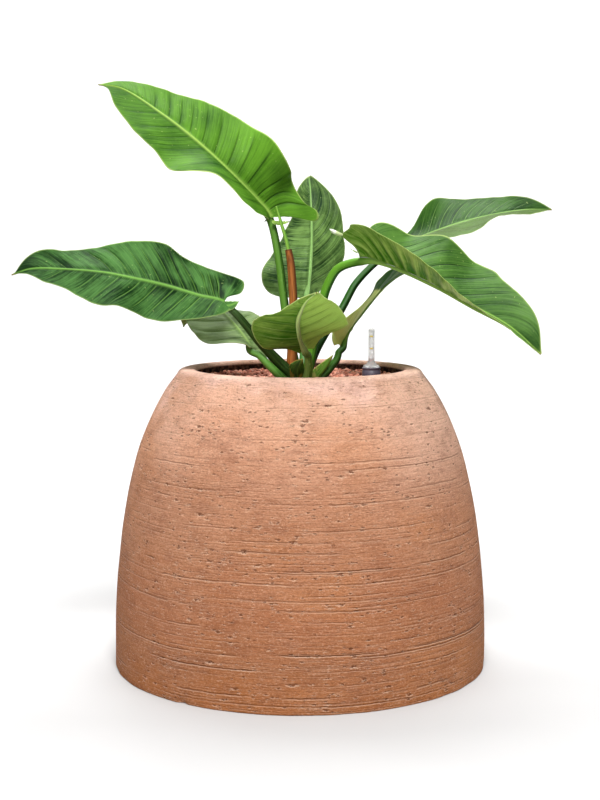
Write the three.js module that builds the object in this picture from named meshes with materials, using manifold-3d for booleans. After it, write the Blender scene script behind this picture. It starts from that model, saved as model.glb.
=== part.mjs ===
// Potted imperial green philodendron in a dome-shaped planter, with clay pebbles and a water gauge.
// Millimetres, +Z up. The origin is the centre of the planter's flat foot.
import * as THREE from 'three';
import { mergeVertices } from 'three/addons/utils/BufferGeometryUtils.js';
import Module from 'manifold-3d';

const wasm = await Module();
wasm.setup();

// Planter
const POT_HEIGHT = 370;
const DOME_RADII = [232.9, 232.6, 230.7, 226.6, 220.7, 211.8, 199.3, 179.3, 151.3];
const RIM_OUTER_RADIUS = 151.3;
const RIM_INNER_RADIUS = 129;
const WALL = 15;
const FLOOR = 16;
const LIP_HEIGHT = 22;
const LIP_ROUND = 5;
const SHOULDER_ROUND = 9;
const FOOT_EDGE = 2;
const OUTSIDE_LEVELS = [FOOT_EDGE, 60, 110, 160, 205, 245, 280, 308, 332, 350];
const INSIDE_LEVELS = [30, 110, 190, 250, 304];
const POT_SIDES = 56;

// Clearance left between pieces that rest on each other
const GAP = 0.3;

// Clay pebbles, larger than life in this relief
const PEBBLE_TOP = 361;
const PEBBLE_RELIEF = 5;
const PEBBLE_STEP = 10;
const PEBBLE_SHIFT = 1.3;
const CROWN_DROP = [0, 0.3];
const HOLLOW_DROP = [0.75, 1];

// Stem and roots
const STEM_RADIUS = 14;
const STEM_TOP = 351;
const ROOT_TOP = 318;
const ROOT_RADIUS = 62;
const ROOT_BOTTOM = 180;
const STEM_SIDES = 20;
const ROOT_SHAPE = [[0.7, ROOT_BOTTOM], [1, ROOT_BOTTOM + 45], [0.9, ROOT_TOP - 40], [0.55, ROOT_TOP - 8]];
const STEM_SHAPE = [[1.1, ROOT_TOP], [1, STEM_TOP - 8], [0.75, STEM_TOP - 2]];

// Water gauge, which stands at the right of the stem
const GAUGE_X = 89;
const GAUGE_Y = 0;
const CAP_RADIUS = 11.7;
const CAP_BOTTOM = 356.5;
const CAP_TOP = 370.6;
const SHAFT_RADIUS = 9;
const SHAFT_BORE = 7;
const SHAFT_BOTTOM = 86;
const TUBE_RADIUS = 3.9;
const TUBE_BORE = 2.9;
const SHOULDER_TOP = 378;
const TUBE_TOP = 419;
const CAP_STEP = 1.2;
const SHAFT_LIP = 3;
const FLOAT_RADIUS = 6;
const FLOAT_LENGTH = 45;
const FLOAT_TAPER = 4;
const FLOAT_ROD = 1.3;
const FLOAT_FLAG = 2.4;
const FLAG_LENGTH = 4;
const FLOAT_TOP = 382;
const GAUGE_SIDES = 16;
const FLOAT_SIDES = 12;

// Leaves
const BLADE_THICKNESS = 1.2;
const WIDEST_AT = 0.3;
const BASE_ROUNDING = 0.02;
const BASE_POWER = 2.6;
const TIP_POWER = 2.0;
const TIP_FULLNESS = 1.15;
const TIP_WIDTH = 0.012;
const VEIN_LEAN = 0.05;
const VEIN_BOW = 1.3;
const LOBE_START = 0.55;
const LOBE_GROWTH = 9;
const LOBE_REACH = 0.13;
const LOBE_BOW = 1.7;
const MARGIN_POWER = 0.75;
const EDGE_CURL = 8;
const BLADE_STATIONS = [0, 0.03, 0.07, 0.12, 0.19, 0.28, 0.38, 0.48, 0.58, 0.68, 0.77, 0.85, 0.92, 0.97, 1];
const SHEATH_STATIONS = [0, 0.12, 0.3, 0.5, 0.7, 0.88, 1];
const BLADE_ROWS = [0, 0.3, 0.65, 1];
const MIDRIB_POINTS = 120;
const MIDRIB_RINGS = 9;
const MIDRIB_END = 0.93;
const MIDRIB_TIP_RADIUS = 0.9;
const MIDRIB_START_SHARE = 0.85;
const MIDRIB_TAPER = 0.8;
const MIDRIB_SINK = 0.85;
const STALK_SIDES = 6;
const STALK_STEP = 24;
const STALK_LEAST_RINGS = 6;
const STALK_ENDS = [1.2, 0.85];
const STALK_TAPER = 1.2;
const NEW_LEAF_RINGS = 12;

// Each leaf has the points of its stalk and midrib from stem to tip, the way its upper face looks and
// its full width. Some have the shares of the stalk's radius at its foot, at its top and at the start of
// the midrib. The right half is the one on the right when the leaf is seen from its base towards
// its tip with the upper face up. Each half has the length of its base lobe and, from base to tip, how
// many degrees it rises above flat. Some have the share of the plain half width that the margin reaches
// and how far it is shifted towards the tip, at even steps of the way along to the power 0.75.
const LEAVES = {
  leaf_upper_left: {
    stalk: [
      [-3, 5, 344], [-6, 8, 370], [-11, 10, 398], [-18, 14, 439], [-26, 20, 501],
    ],
    midrib: [
      [-36, 25, 557], [-52, 18, 578], [-91, 8, 617], [-127, 4, 650], [-171, 6, 684],
      [-221, 16, 715], [-250, 24, 720],
    ],
    facing: [0.1, -0.75, 0.65],
    width: 137,
    stalkRadius: 5.6,
    colour: 0x4f8a36,
    right: {
      lobe: 44,
      rise: [23, 51, 11, -5, -14, -13, -10],
      trim: [0.47, 1.09, 0.75, 0.94, 0.94, 0.97, 1.01, 0.99, 0.97, 1, 1.01],
      shift: [21, -2, -3, -7, -3, 0, 1, 0, 0, 0, 1],
    },
    left: {
      lobe: 2,
      rise: [41, 35, 36, -1, -1, -4, 6],
      trim: [1, 1, 1.01, 1.03, 1.04, 1.02, 0.87, 0.94, 0.98, 1.11, 1.1],
      shift: [1, 1, 1, 1, 1, 2, 0, 1, 2, 1, -10],
    },
  },
  leaf_left: {
    stalk: [
      [-6, 0, 346], [-12, -3, 363], [-27, -9, 379], [-48, -18, 402], [-73, -27, 433],
    ],
    midrib: [
      [-92, -30, 454], [-123, -33, 462], [-163, -38, 474], [-202, -44, 483], [-237, -50, 490],
      [-284, -58, 494], [-322, -64, 494], [-344, -68, 487],
    ],
    facing: [0, -0.6, 0.8],
    width: 122,
    stalkRadius: 6.6,
    stalkEnds: [1.35, 0.62],
    ribShare: 0.6,
    colour: 0x2a5434,
    right: {
      lobe: 35,
      rise: [-4, 3, 9, 7, -6, 16, 49],
      trim: [0.45, 0.96, 0.96, 0.86, 1.03, 1, 0.94, 0.99, 0.95, 1.22, 1.17],
      shift: [18, 0, -1, 3, -2, -3, -4, -4, -4, -1, -3],
    },
    left: {
      lobe: 16,
      rise: [5, -8, -25, -5, -16, -9, 9],
      trim: [0.35, 0.71, 0.77, 0.86, 0.83, 0.87, 1.05, 0.92, 0.84, 1.03, 1],
      shift: [-2, -1, -1, -2, -2, -4, 3, 0, -2, -2, -6],
    },
  },
  leaf_back: {
    stalk: [
      [3, 6, 345], [4, 14, 369], [5, 30, 396], [6, 52, 427],
    ],
    midrib: [
      [8, 75, 454], [12, 100, 476], [15, 140, 512], [16, 180, 553], [15, 213, 583],
      [13, 250, 618],
    ],
    facing: [0, -0.8, 0.6],
    width: 131,
    stalkRadius: 5,
    colour: 0x3a5a3c,
    right: {
      lobe: -5,
      rise: [-56, -63, -58, -46, -33, 2, 46],
      trim: [0.6, 0.56, 0.53, 0.7, 0.83, 0.94, 1, 1.01, 1.04, 0.99, 1.02],
      shift: [26, 14, 9, 4, 1, 0, -1, -1, 0, 1, 6],
    },
    left: {
      lobe: -1,
      rise: [-38, -34, -28, -37, -43, -41, 14],
      trim: [0.45, 0.79, 0.99, 1.1, 1.09, 1.03, 0.96, 0.99, 0.98, 1.02, 1.04],
      shift: [8, 4, 0, 0, 0, 0, 0, 0, 1, 4, 3],
    },
  },
  leaf_right_top: {
    stalk: [
      [6, 4, 344], [11, 10, 366], [19, 18, 388], [34, 32, 414], [53, 45, 441], [71, 58, 473],
    ],
    midrib: [
      [94, 70, 501], [123, 82, 519], [165, 95, 537], [214, 108, 553], [257, 118, 563],
      [300, 126, 569], [333, 131, 569],
    ],
    facing: [0, -0.5, 0.85],
    width: 126,
    stalkRadius: 5.2,
    colour: 0x44763f,
    right: {
      lobe: 8,
      rise: [23, 35, 20, 16, 26, 16, 2],
      trim: [0.99, 1, 1.02, 1.04, 1.05, 1.02, 0.98, 0.97, 0.98, 1.01, 1.02],
      shift: [0, 0, 0, 0, 0, 0, 0, 0, 0, 0, -4],
    },
    left: {
      lobe: 8,
      rise: [-36, -40, -31, 0, -3, 14, 48],
      trim: [0.99, 0.99, 1, 1.03, 1.09, 1.15, 0.97, 0.99, 0.96, 1.02, 1.03],
      shift: [0, 0, 0, 1, 2, 2, -2, -2, -1, 1, 2],
    },
  },
  leaf_right_drooping: {
    stalk: [
      [7, -2, 343], [10, -4, 366], [15, -6, 393], [24, -8, 433], [32, -11, 468], [47, -15, 494],
    ],
    midrib: [
      [73, -22, 508], [109, -32, 499], [167, -48, 473], [211, -60, 448], [251, -70, 425],
      [287, -80, 393],
    ],
    facing: [0, -0.1, 1],
    width: 146,
    stalkRadius: 6,
    ribShare: 0.6,
    colour: 0x4c8741,
    right: {
      lobe: 30,
      rise: [37, 26, 22, 15, 9, 7, 7],
      trim: [0.62, 0.94, 1.1, 1.13, 1.05, 1, 0.99, 0.99, 1, 1, 1],
      shift: [20, 4, -3, -2, -1, -1, 0, 0, 0, 0, 0],
    },
    left: {
      lobe: 11,
      rise: [47, 24, 40, 28, 42, 55, 77],
      trim: [1.09, 1.11, 1.02, 1.04, 0.97, 0.95, 1, 0.93, 0.98, 1.05, 1.06],
      shift: [10, 4, 0, 1, 2, 3, 5, 3, 4, 5, 2],
    },
  },
  leaf_right_narrow: {
    stalk: [
      [8, -3, 338], [38.5, -1, 371], [46.5, 1, 382],
    ],
    midrib: [
      [50, 6, 397], [57, 14, 410], [66, 25, 423], [78, 40, 437], [91, 56, 452], [106, 76, 468],
      [133, 98, 486], [184, 128, 497],
    ],
    facing: [-0.4, 0.3, 0.85],
    width: 114,
    stalkRadius: 4.8,
    ribShare: 0.5,
    colour: 0x9aa568,
    right: {
      lobe: 20,
      rise: [19, 6, 9, 4, -9, -22, -22],
      trim: [0.99, 0.99, 0.95, 0.98, 1.05, 1.06, 1, 1, 1, 1, 1],
      shift: [1, -1, 0, 0, 0, -1, -1, 0, 0, 0, 0],
    },
    left: {
      lobe: 1,
      rise: [-5, -15, -11, -11, 0, 19, 39],
      trim: [1, 1, 1, 0.99, 0.97, 0.94, 0.96, 0.93, 0.93, 1, 1.03],
      shift: [0, 0, 0, 0, 0, 0, 0, -1, -1, 1, 1],
    },
  },
  leaf_front: {
    stalk: [
      [5, -7, 344], [9, -14, 360], [11, -21, 374], [10, -28, 386],
    ],
    midrib: [
      [7, -38, 396], [1, -60, 409], [-2, -90, 425], [-2, -120, 439], [2, -148, 451],
      [8, -175, 462], [18, -195, 470],
    ],
    facing: [0, 0.45, 0.9],
    width: 108,
    stalkRadius: 5.2,
    colour: 0x6c943f,
    right: {
      lobe: 5,
      rise: [2, -16, -6, -7, -16, -27, -15],
      trim: [0.45, 0.7, 0.86, 0.97, 1.02, 1.01, 1, 1.01, 1.02, 1.05, 1.03],
      shift: [-6, 1, 3, 2, 1, 0, 0, 1, 2, 4, 3],
    },
    left: {
      lobe: -1,
      rise: [24, 7, 5, 10, 12, 12, 36],
      trim: [0.45, 0.73, 0.95, 1.11, 1.09, 1.03, 1.01, 1.01, 0.99, 1.02, 1.03],
      shift: [-6, 3, 4, 2, 0, 0, 0, 0, 1, 3, 3],
    },
  },
  leaf_left_low: {
    stalk: [
      [-6, -6, 342], [-25, -13, 361], [-43, -14, 379],
    ],
    midrib: [
      [-58, -8, 395], [-71, 5, 412], [-86, 22, 428], [-102, 42, 441], [-121, 62, 446],
      [-139, 80, 437], [-153, 94, 416],
    ],
    facing: [0, 0.35, 0.9],
    width: 112,
    stalkRadius: 5,
    ribShare: 0.4,
    colour: 0x8c9b7d,
    right: {
      lobe: 22,
      rise: [15, 12, 10, 7, 4, 16, 41],
    },
    left: {
      lobe: 1,
      rise: [-10, -49, -41, -30, -14, 3, 20],
      trim: [0.85, 0.86, 0.86, 0.93, 0.97, 0.99, 1, 1, 1, 1, 1],
      shift: [-4, 0, 3, 1, 0, 0, 0, 0, 0, 0, 0],
    },
  },
};

// Sheaths that once wrapped a young leaf and now stand at the foot of the stalks
const SHEATHS = {
  sheath_front: {
    midrib: [[-3, -10, 346], [-4, -17, 359], [-3, -21, 371], [3, -22, 383]],
    facing: [0, 1, 0.2],
    width: 34,
    rise: [40, 42, 44, 42, 40, 35, 30],
    colour: 0x4c5a2a,
  },
  sheath_right: {
    midrib: [[8, -7, 342], [20, -10, 356], [31, -12, 371], [40, -13, 387]],
    facing: [-0.5, 0.8, 0.4],
    width: 22,
    rise: [50, 50, 45, 40, 35, 30, 25],
    colour: 0x5d7a35,
  },
};

// Brown sheath and the rolled new leaf that comes out of it
const BROWN_SHEATH = [
  [-5, -3, 344], [-9.5, -3, 366], [-9.3, -2, 405], [-8.3, 0, 452], [-11.3, 2, 500], [-14.3, 2, 517],
];
const BROWN_SHEATH_RADII = [7.2, 3.9];
const NEW_LEAF = [[-9.3, -1, 440], [-11.3, 2, 495], [-16.3, 2, 525], [-23.3, 3, 549], [-29.3, 4, 570]];
const NEW_LEAF_RADII = [3, 1.3];

const random = seededRandom(7);
const part = new THREE.Group();

// A repeatable sequence of numbers from 0 to 1
function seededRandom(seed) {
  let state = seed;
  return () => {
    state = (state * 16807) % 2147483647;
    return state / 2147483647;
  };
}

function material(colour, roughness, extra = {}) {
  return new THREE.MeshStandardMaterial({ color: colour, roughness, metalness: 0, ...extra });
}

function place(name, geometry, finish) {
  geometry.computeVertexNormals();
  const mesh = new THREE.Mesh(geometry, finish);
  mesh.name = name;
  part.add(mesh);
}

// Merged vertices, no collapsed triangles, and faces that point out
function tidyMesh(geometry) {
  const bare = geometry.clone();
  for (const name of Object.keys(bare.attributes)) {
    if (name !== 'position') {
      bare.deleteAttribute(name);
    }
  }
  const merged = mergeVertices(bare, 1e-4);
  const corners = merged.index.array;
  const positions = merged.attributes.position;
  const kept = [];
  let volume = 0;
  for (let i = 0; i < corners.length; i += 3) {
    const [a, b, c] = [corners[i], corners[i + 1], corners[i + 2]];
    if (a === b || b === c || c === a) {
      continue;
    }
    kept.push(a, b, c);
    const [p, q, r] = [a, b, c].map((k) => new THREE.Vector3().fromBufferAttribute(positions, k));
    volume += p.dot(q.cross(r));
  }
  if (volume < 0) {
    kept.reverse();
  }
  merged.setIndex(kept);
  return merged;
}

function toSolid(geometry) {
  const tidy = tidyMesh(geometry);
  return new wasm.Manifold(new wasm.Mesh({
    numProp: 3,
    vertProperties: new Float32Array(tidy.attributes.position.array),
    triVerts: new Uint32Array(tidy.index.array),
  }));
}

function toGeometry(solid) {
  const mesh = solid.getMesh();
  const geometry = new THREE.BufferGeometry();
  geometry.setAttribute('position', new THREE.BufferAttribute(mesh.vertProperties, 3));
  geometry.setIndex(new THREE.BufferAttribute(mesh.triVerts, 1));
  return geometry;
}

// The biggest body of a solid, without the slivers that a cut leaves
function mainBody(solid) {
  const bodies = solid.decompose();
  bodies.sort((a, b) => b.volume() - a.volume());
  return bodies[0];
}

// Solid of revolution about a vertical axis, from a profile of [radius, height]
function turned(profile, sides, x = 0, y = 0) {
  const points = profile.map(([r, z]) => new THREE.Vector2(r, z));
  const lathe = new THREE.LatheGeometry(points, sides);
  lathe.rotateX(Math.PI / 2);
  lathe.translate(x, y, 0);
  return tidyMesh(lathe);
}

function arc(centreR, centreZ, radius, from, to, steps) {
  return Array.from({ length: steps + 1 }, (_, i) => {
    const angle = THREE.MathUtils.degToRad(from + ((to - from) * i) / steps);
    return [centreR + radius * Math.cos(angle), centreZ + radius * Math.sin(angle)];
  });
}

function toVectors(points) {
  return points.map(([x, y, z]) => new THREE.Vector3(x, y, z));
}

// Smooth value at u, from 0 to 1, through evenly spaced values
function smoothThrough(values, u) {
  const last = values.length - 1;
  const place = THREE.MathUtils.clamp(u, 0, 1) * last;
  const i = Math.min(Math.floor(place), last - 1);
  const w = place - i;
  const before = i > 0 ? values[i - 1] : 2 * values[0] - values[1];
  const after = i + 2 <= last ? values[i + 2] : 2 * values[last] - values[last - 1];
  const [b, c] = [values[i], values[i + 1]];
  const bend = 2 * before - 5 * b + 4 * c - after + w * (3 * (b - c) + after - before);
  return b + 0.5 * w * (c - before + w * bend);
}

// Indices round the border of a grid of points that is stored row by row
function gridBorder(rows, columns) {
  const edge = [];
  for (let i = 0; i < columns; i += 1) {
    edge.push(i);
  }
  for (let j = 1; j < rows; j += 1) {
    edge.push(j * columns + columns - 1);
  }
  for (let i = columns - 2; i >= 0; i -= 1) {
    edge.push((rows - 1) * columns + i);
  }
  for (let j = rows - 2; j > 0; j -= 1) {
    edge.push(j * columns);
  }
  return edge;
}

// Closed mesh from rings of points that all have the same count, with a fan at both ends
function ringBody(rings) {
  const count = rings[0].length;
  const points = rings.flat();
  const faces = [];
  for (let i = 0; i + 1 < rings.length; i += 1) {
    for (let k = 0; k < count; k += 1) {
      const next = (k + 1) % count;
      const [a, b] = [i * count + k, i * count + next];
      faces.push(a, b, b + count, a, b + count, a + count);
    }
  }
  const ends = [0, rings.length - 1];
  for (const end of ends) {
    const centre = new THREE.Vector3();
    rings[end].forEach((point) => centre.addScaledVector(point, 1 / count));
    points.push(centre);
    for (let k = 0; k < count; k += 1) {
      const [a, b] = [end * count + k, end * count + ((k + 1) % count)];
      faces.push(...(end === 0 ? [points.length - 1, b, a] : [points.length - 1, a, b]));
    }
  }
  const geometry = new THREE.BufferGeometry().setFromPoints(points);
  geometry.setIndex(faces);
  return tidyMesh(geometry);
}

// Round rod through centre points, with a radius at each of them
function rodThrough(centres, radii, sides) {
  const rings = [];
  let normal = new THREE.Vector3(0, 0, 1);
  centres.forEach((centre, i) => {
    const ahead = centres[Math.min(i + 1, centres.length - 1)];
    const behind = centres[Math.max(i - 1, 0)];
    const tangent = ahead.clone().sub(behind).normalize();
    if (i === 0 && Math.abs(tangent.z) > 0.9) {
      normal = new THREE.Vector3(1, 0, 0);
    }
    normal = normal.clone().addScaledVector(tangent, -normal.dot(tangent)).normalize();
    const side = tangent.clone().cross(normal);
    const ring = [];
    for (let k = 0; k < sides; k += 1) {
      const turn = (2 * Math.PI * k) / sides;
      const out = normal.clone().multiplyScalar(Math.cos(turn)).addScaledVector(side, Math.sin(turn));
      ring.push(centre.clone().addScaledVector(out, radii[i]));
    }
    rings.push(ring);
  });
  return ringBody(rings);
}

// Midrib of a blade as a table of points by length, with the blade's own directions
function midribFrames(spec) {
  const count = MIDRIB_POINTS;
  const points = toVectors([...(spec.stalk ?? []), ...spec.midrib]);
  const curve = new THREE.CatmullRomCurve3(points);
  const start = (spec.stalk?.length ?? 0) / (points.length - 1);
  const facing = new THREE.Vector3(...spec.facing);
  const table = [];
  let length = 0;
  for (let i = 0; i < count; i += 1) {
    const t = start + ((1 - start) * i) / (count - 1);
    const point = curve.getPoint(t);
    if (i > 0) {
      length += point.distanceTo(table[i - 1].point);
    }
    const along = curve.getTangent(t);
    const normal = facing.clone().addScaledVector(along, -facing.dot(along)).normalize();
    table.push({ point, along, normal, side: along.clone().cross(normal), length });
  }
  return { table, length, curve, start };
}

function frameAt(frames, length) {
  const { table } = frames;
  const wanted = THREE.MathUtils.clamp(length, 0, frames.length);
  let i = 0;
  while (i < table.length - 2 && table[i + 1].length < wanted) {
    i += 1;
  }
  const [a, b] = [table[i], table[i + 1]];
  const w = (wanted - a.length) / (b.length - a.length);
  const mix = (key) => a[key].clone().lerp(b[key], w);
  return { point: mix('point'), along: mix('along'), normal: mix('normal'), side: mix('side') };
}

// Half the width of a blade as a share of its greatest half width
function halfWidth(u) {
  if (u < WIDEST_AT) {
    const inward = (WIDEST_AT - u) / (WIDEST_AT + BASE_ROUNDING);
    return Math.sqrt(1 - inward ** BASE_POWER);
  }
  const outward = (u - WIDEST_AT) / (1 - WIDEST_AT);
  return Math.max((1 - outward ** TIP_POWER) ** TIP_FULLNESS, TIP_WIDTH);
}

// A point of the upper face and the face's normal there; hand is 1 on the right half and -1 on the left
function bladePoint(spec, frames, u, v, hand) {
  const half = hand > 0 ? spec.right : spec.left;
  const station = u ** MARGIN_POWER;
  const trim = half.trim ? smoothThrough(half.trim, station) : 1;
  const shift = half.shift ? smoothThrough(half.shift, station) : 0;
  const out = (spec.width / 2) * halfWidth(u) * trim * v;
  const lobe = half.lobe * (LOBE_START + LOBE_GROWTH * u) * Math.exp(-((u / LOBE_REACH) ** 2));
  const lean = frames.length * VEIN_LEAN * Math.sin(Math.PI * u) * v ** VEIN_BOW;
  const length = frames.length * u + lean + (shift - lobe) * v ** LOBE_BOW;
  const frame = frameAt(frames, length);
  if (length < 0) {
    frame.point.addScaledVector(frame.along, length);
  }
  const start = THREE.MathUtils.degToRad(smoothThrough(half.rise, length / frames.length));
  const curl = THREE.MathUtils.degToRad(EDGE_CURL) / (spec.width / 2);
  const end = start + curl * out;
  const sideways = (Math.sin(end) - Math.sin(start)) / curl;
  const upward = (Math.cos(start) - Math.cos(end)) / curl;
  frame.point.addScaledVector(frame.side, hand * sideways).addScaledVector(frame.normal, upward);
  const normal = frame.normal.clone();
  if (v > 0) {
    normal.multiplyScalar(Math.cos(end)).addScaledVector(frame.side, -hand * Math.sin(end));
  }
  return { point: frame.point, normal };
}

// Thin closed blade: an upper and a lower face cut into the same triangles, joined round the edge
function bladeBody(spec, frames, stations, thickness, extra = 0) {
  const columns = [...BLADE_ROWS.slice(1).reverse().map((v) => [v, -1]), ...BLADE_ROWS.map((v) => [v, 1])];
  const width = columns.length;
  const upper = [];
  const lower = [];
  for (const u of stations) {
    for (const [v, hand] of columns) {
      const { point, normal } = bladePoint(spec, frames, u, v, hand);
      upper.push(point.clone().addScaledVector(normal, extra));
      lower.push(point.clone().addScaledVector(normal, -thickness - extra));
    }
  }
  const points = [...upper, ...lower];
  const shift = upper.length;
  const faces = [];
  const rows = stations.length;
  for (let i = 0; i + 1 < rows; i += 1) {
    for (let k = 0; k + 1 < width; k += 1) {
      const a = i * width + k;
      const [b, c, d] = [a + 1, a + width + 1, a + width];
      faces.push(a, b, c, a, c, d);
      faces.push(c + shift, b + shift, a + shift, d + shift, c + shift, a + shift);
    }
  }
  const edge = gridBorder(rows, width);
  edge.forEach((a, n) => {
    const b = edge[(n + 1) % edge.length];
    faces.push(a, a + shift, b, b, a + shift, b + shift);
  });
  const geometry = new THREE.BufferGeometry().setFromPoints(points);
  geometry.setIndex(faces);
  return tidyMesh(geometry);
}

// Stalk from inside the stem to the blade, going on under the blade as its raised midrib
function stalkBody(spec, frames, extra = 0) {
  const { curve, start } = frames;
  const centres = [];
  const radii = [];
  const rings = Math.max(Math.round(curve.getLength() * start / STALK_STEP), STALK_LEAST_RINGS);
  const [foot, top] = spec.stalkEnds ?? STALK_ENDS;
  for (let i = 0; i < rings; i += 1) {
    const way = i / rings;
    const radius = spec.stalkRadius * (top + (foot - top) * (1 - way) ** STALK_TAPER);
    const sink = radius * MIDRIB_SINK * THREE.MathUtils.smoothstep(way, 0.8, 1);
    centres.push(curve.getPoint(way * start).addScaledVector(frames.table[0].normal, -sink));
    radii.push(radius + extra);
  }
  const full = (spec.ribShare ?? MIDRIB_START_SHARE) * spec.stalkRadius;
  for (let i = 0; i <= MIDRIB_RINGS; i += 1) {
    const share = i / MIDRIB_RINGS;
    const frame = frameAt(frames, share * MIDRIB_END * frames.length);
    const radius = MIDRIB_TIP_RADIUS + (full - MIDRIB_TIP_RADIUS) * (1 - share) ** MIDRIB_TAPER;
    centres.push(frame.point.addScaledVector(frame.normal, -radius * MIDRIB_SINK));
    radii.push(radius + extra);
  }
  return rodThrough(centres, radii, STALK_SIDES);
}

// Outer radius of the planter at a height, through radii at even steps from the foot to the rim
function domeRadius(z) {
  return smoothThrough(DOME_RADII, z / POT_HEIGHT);
}

// Inside of the planter from the floor to the rim, as [radius, height]
function insideProfile(inset) {
  const corner = [domeRadius(0) - WALL - 14, FLOOR + inset];
  const wall = INSIDE_LEVELS.map((z) => [domeRadius(z) - WALL, z]);
  const underLip = [RIM_INNER_RADIUS + 9, POT_HEIGHT - LIP_HEIGHT - 8];
  const lip = [RIM_INNER_RADIUS + 1, POT_HEIGHT - LIP_HEIGHT + 8];
  return [corner, ...wall, underLip, lip].map(([radius, z]) => [radius - inset, z]);
}

function addPlanter() {
  const outer = OUTSIDE_LEVELS.map((z) => [domeRadius(z), z]);
  const shoulder = [RIM_OUTER_RADIUS - SHOULDER_ROUND + 2, POT_HEIGHT - SHOULDER_ROUND];
  const lip = [RIM_INNER_RADIUS + LIP_ROUND, POT_HEIGHT - LIP_ROUND];
  const profile = [
    [0, 0],
    [domeRadius(0) - FOOT_EDGE, 0],
    ...outer,
    ...arc(...shoulder, SHOULDER_ROUND, 20, 80, 2),
    ...arc(...lip, LIP_ROUND, 90, 180, 2),
    ...insideProfile(0).reverse(),
    [0, FLOOR],
  ];
  place('planter_pot', turned(profile, POT_SIDES), material(0xc08a68, 0.9));
}

// Block with a top of close round humps, on a triangular net whose every third point is raised
function pebbleBlock() {
  const rowStep = (PEBBLE_STEP * Math.sqrt(3)) / 2;
  const half = RIM_INNER_RADIUS + 2 * PEBBLE_STEP;
  const columns = Math.ceil((2 * half) / PEBBLE_STEP) + 1;
  const rows = Math.ceil((2 * half) / rowStep) + 1;
  const bottom = FLOOR / 2;
  const points = [];
  for (let j = 0; j < rows; j += 1) {
    for (let i = 0; i < columns; i += 1) {
      const q = i - Math.floor(j / 2);
      const crown = (((q - j) % 3) + 3) % 3 === 0;
      const x = -half + (i + (j % 2) / 2) * PEBBLE_STEP + (random() - 0.5) * 2 * PEBBLE_SHIFT;
      const y = -half + j * rowStep + (random() - 0.5) * 2 * PEBBLE_SHIFT;
      const [least, most] = crown ? CROWN_DROP : HOLLOW_DROP;
      const drop = least + (most - least) * random();
      points.push(new THREE.Vector3(x, y, PEBBLE_TOP - PEBBLE_RELIEF * drop));
    }
  }
  const faces = [];
  for (let j = 0; j + 1 < rows; j += 1) {
    for (let i = 0; i + 1 < columns; i += 1) {
      const a = j * columns + i;
      const [b, c, d] = [a + 1, a + columns + 1, a + columns];
      faces.push(...(j % 2 === 0 ? [a, b, d, b, c, d] : [a, b, c, a, c, d]));
    }
  }
  const edge = gridBorder(rows, columns);
  const first = points.length;
  edge.forEach((k) => points.push(points[k].clone().setZ(bottom)));
  points.push(new THREE.Vector3(0, 0, bottom));
  edge.forEach((a, n) => {
    const next = (n + 1) % edge.length;
    faces.push(a, first + n, edge[next], edge[next], first + n, first + next);
    faces.push(first + n, points.length - 1, first + next);
  });
  const geometry = new THREE.BufferGeometry().setFromPoints(points);
  geometry.setIndex(faces);
  return toSolid(geometry);
}

// Stem at the surface and the mass of roots under it, grown by an extra clearance
function stemProfile(extra) {
  const roots = ROOT_SHAPE.map(([share, z]) => [ROOT_RADIUS * share + extra, z]);
  const stem = STEM_SHAPE.map(([share, z]) => [STEM_RADIUS * share + extra, z]);
  roots[0][1] -= extra;
  roots.at(-1)[1] += extra;
  stem[0][1] += extra;
  stem.at(-1)[1] += extra;
  return [[0, ROOT_BOTTOM - extra], ...roots, ...stem, [0, STEM_TOP + extra]];
}

// The pebbles leave a plain hole for the stem, for each stalk or sheath and for the gauge
function addStemAndPebbles(stalks) {
  place('stem_with_roots', turned(stemProfile(0), STEM_SIDES), material(0x6b5a3a, 0.85));
  const room = [
    [0, FLOOR + GAP],
    ...insideProfile(GAP),
    [RIM_INNER_RADIUS - GAP, POT_HEIGHT - LIP_ROUND],
    [RIM_INNER_RADIUS - GAP, POT_HEIGHT],
    [0, POT_HEIGHT],
  ];
  const gaugeRoom = [
    [0, SHAFT_BOTTOM - GAP],
    [SHAFT_RADIUS + GAP, SHAFT_BOTTOM - GAP],
    [SHAFT_RADIUS + GAP, CAP_BOTTOM - GAP],
    [CAP_RADIUS + GAP, CAP_BOTTOM - GAP],
    [CAP_RADIUS + GAP, POT_HEIGHT],
    [0, POT_HEIGHT],
  ];
  const holes = [...stalks, toSolid(turned(gaugeRoom, GAUGE_SIDES, GAUGE_X, GAUGE_Y))];
  const block = toSolid(turned(room, POT_SIDES)).intersect(pebbleBlock());
  const pebbles = holes.reduce((rest, hole) => rest.subtract(hole), block);
  place('clay_pebbles', toGeometry(mainBody(pebbles)), material(0x8a4f3c, 0.95));
}

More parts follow.
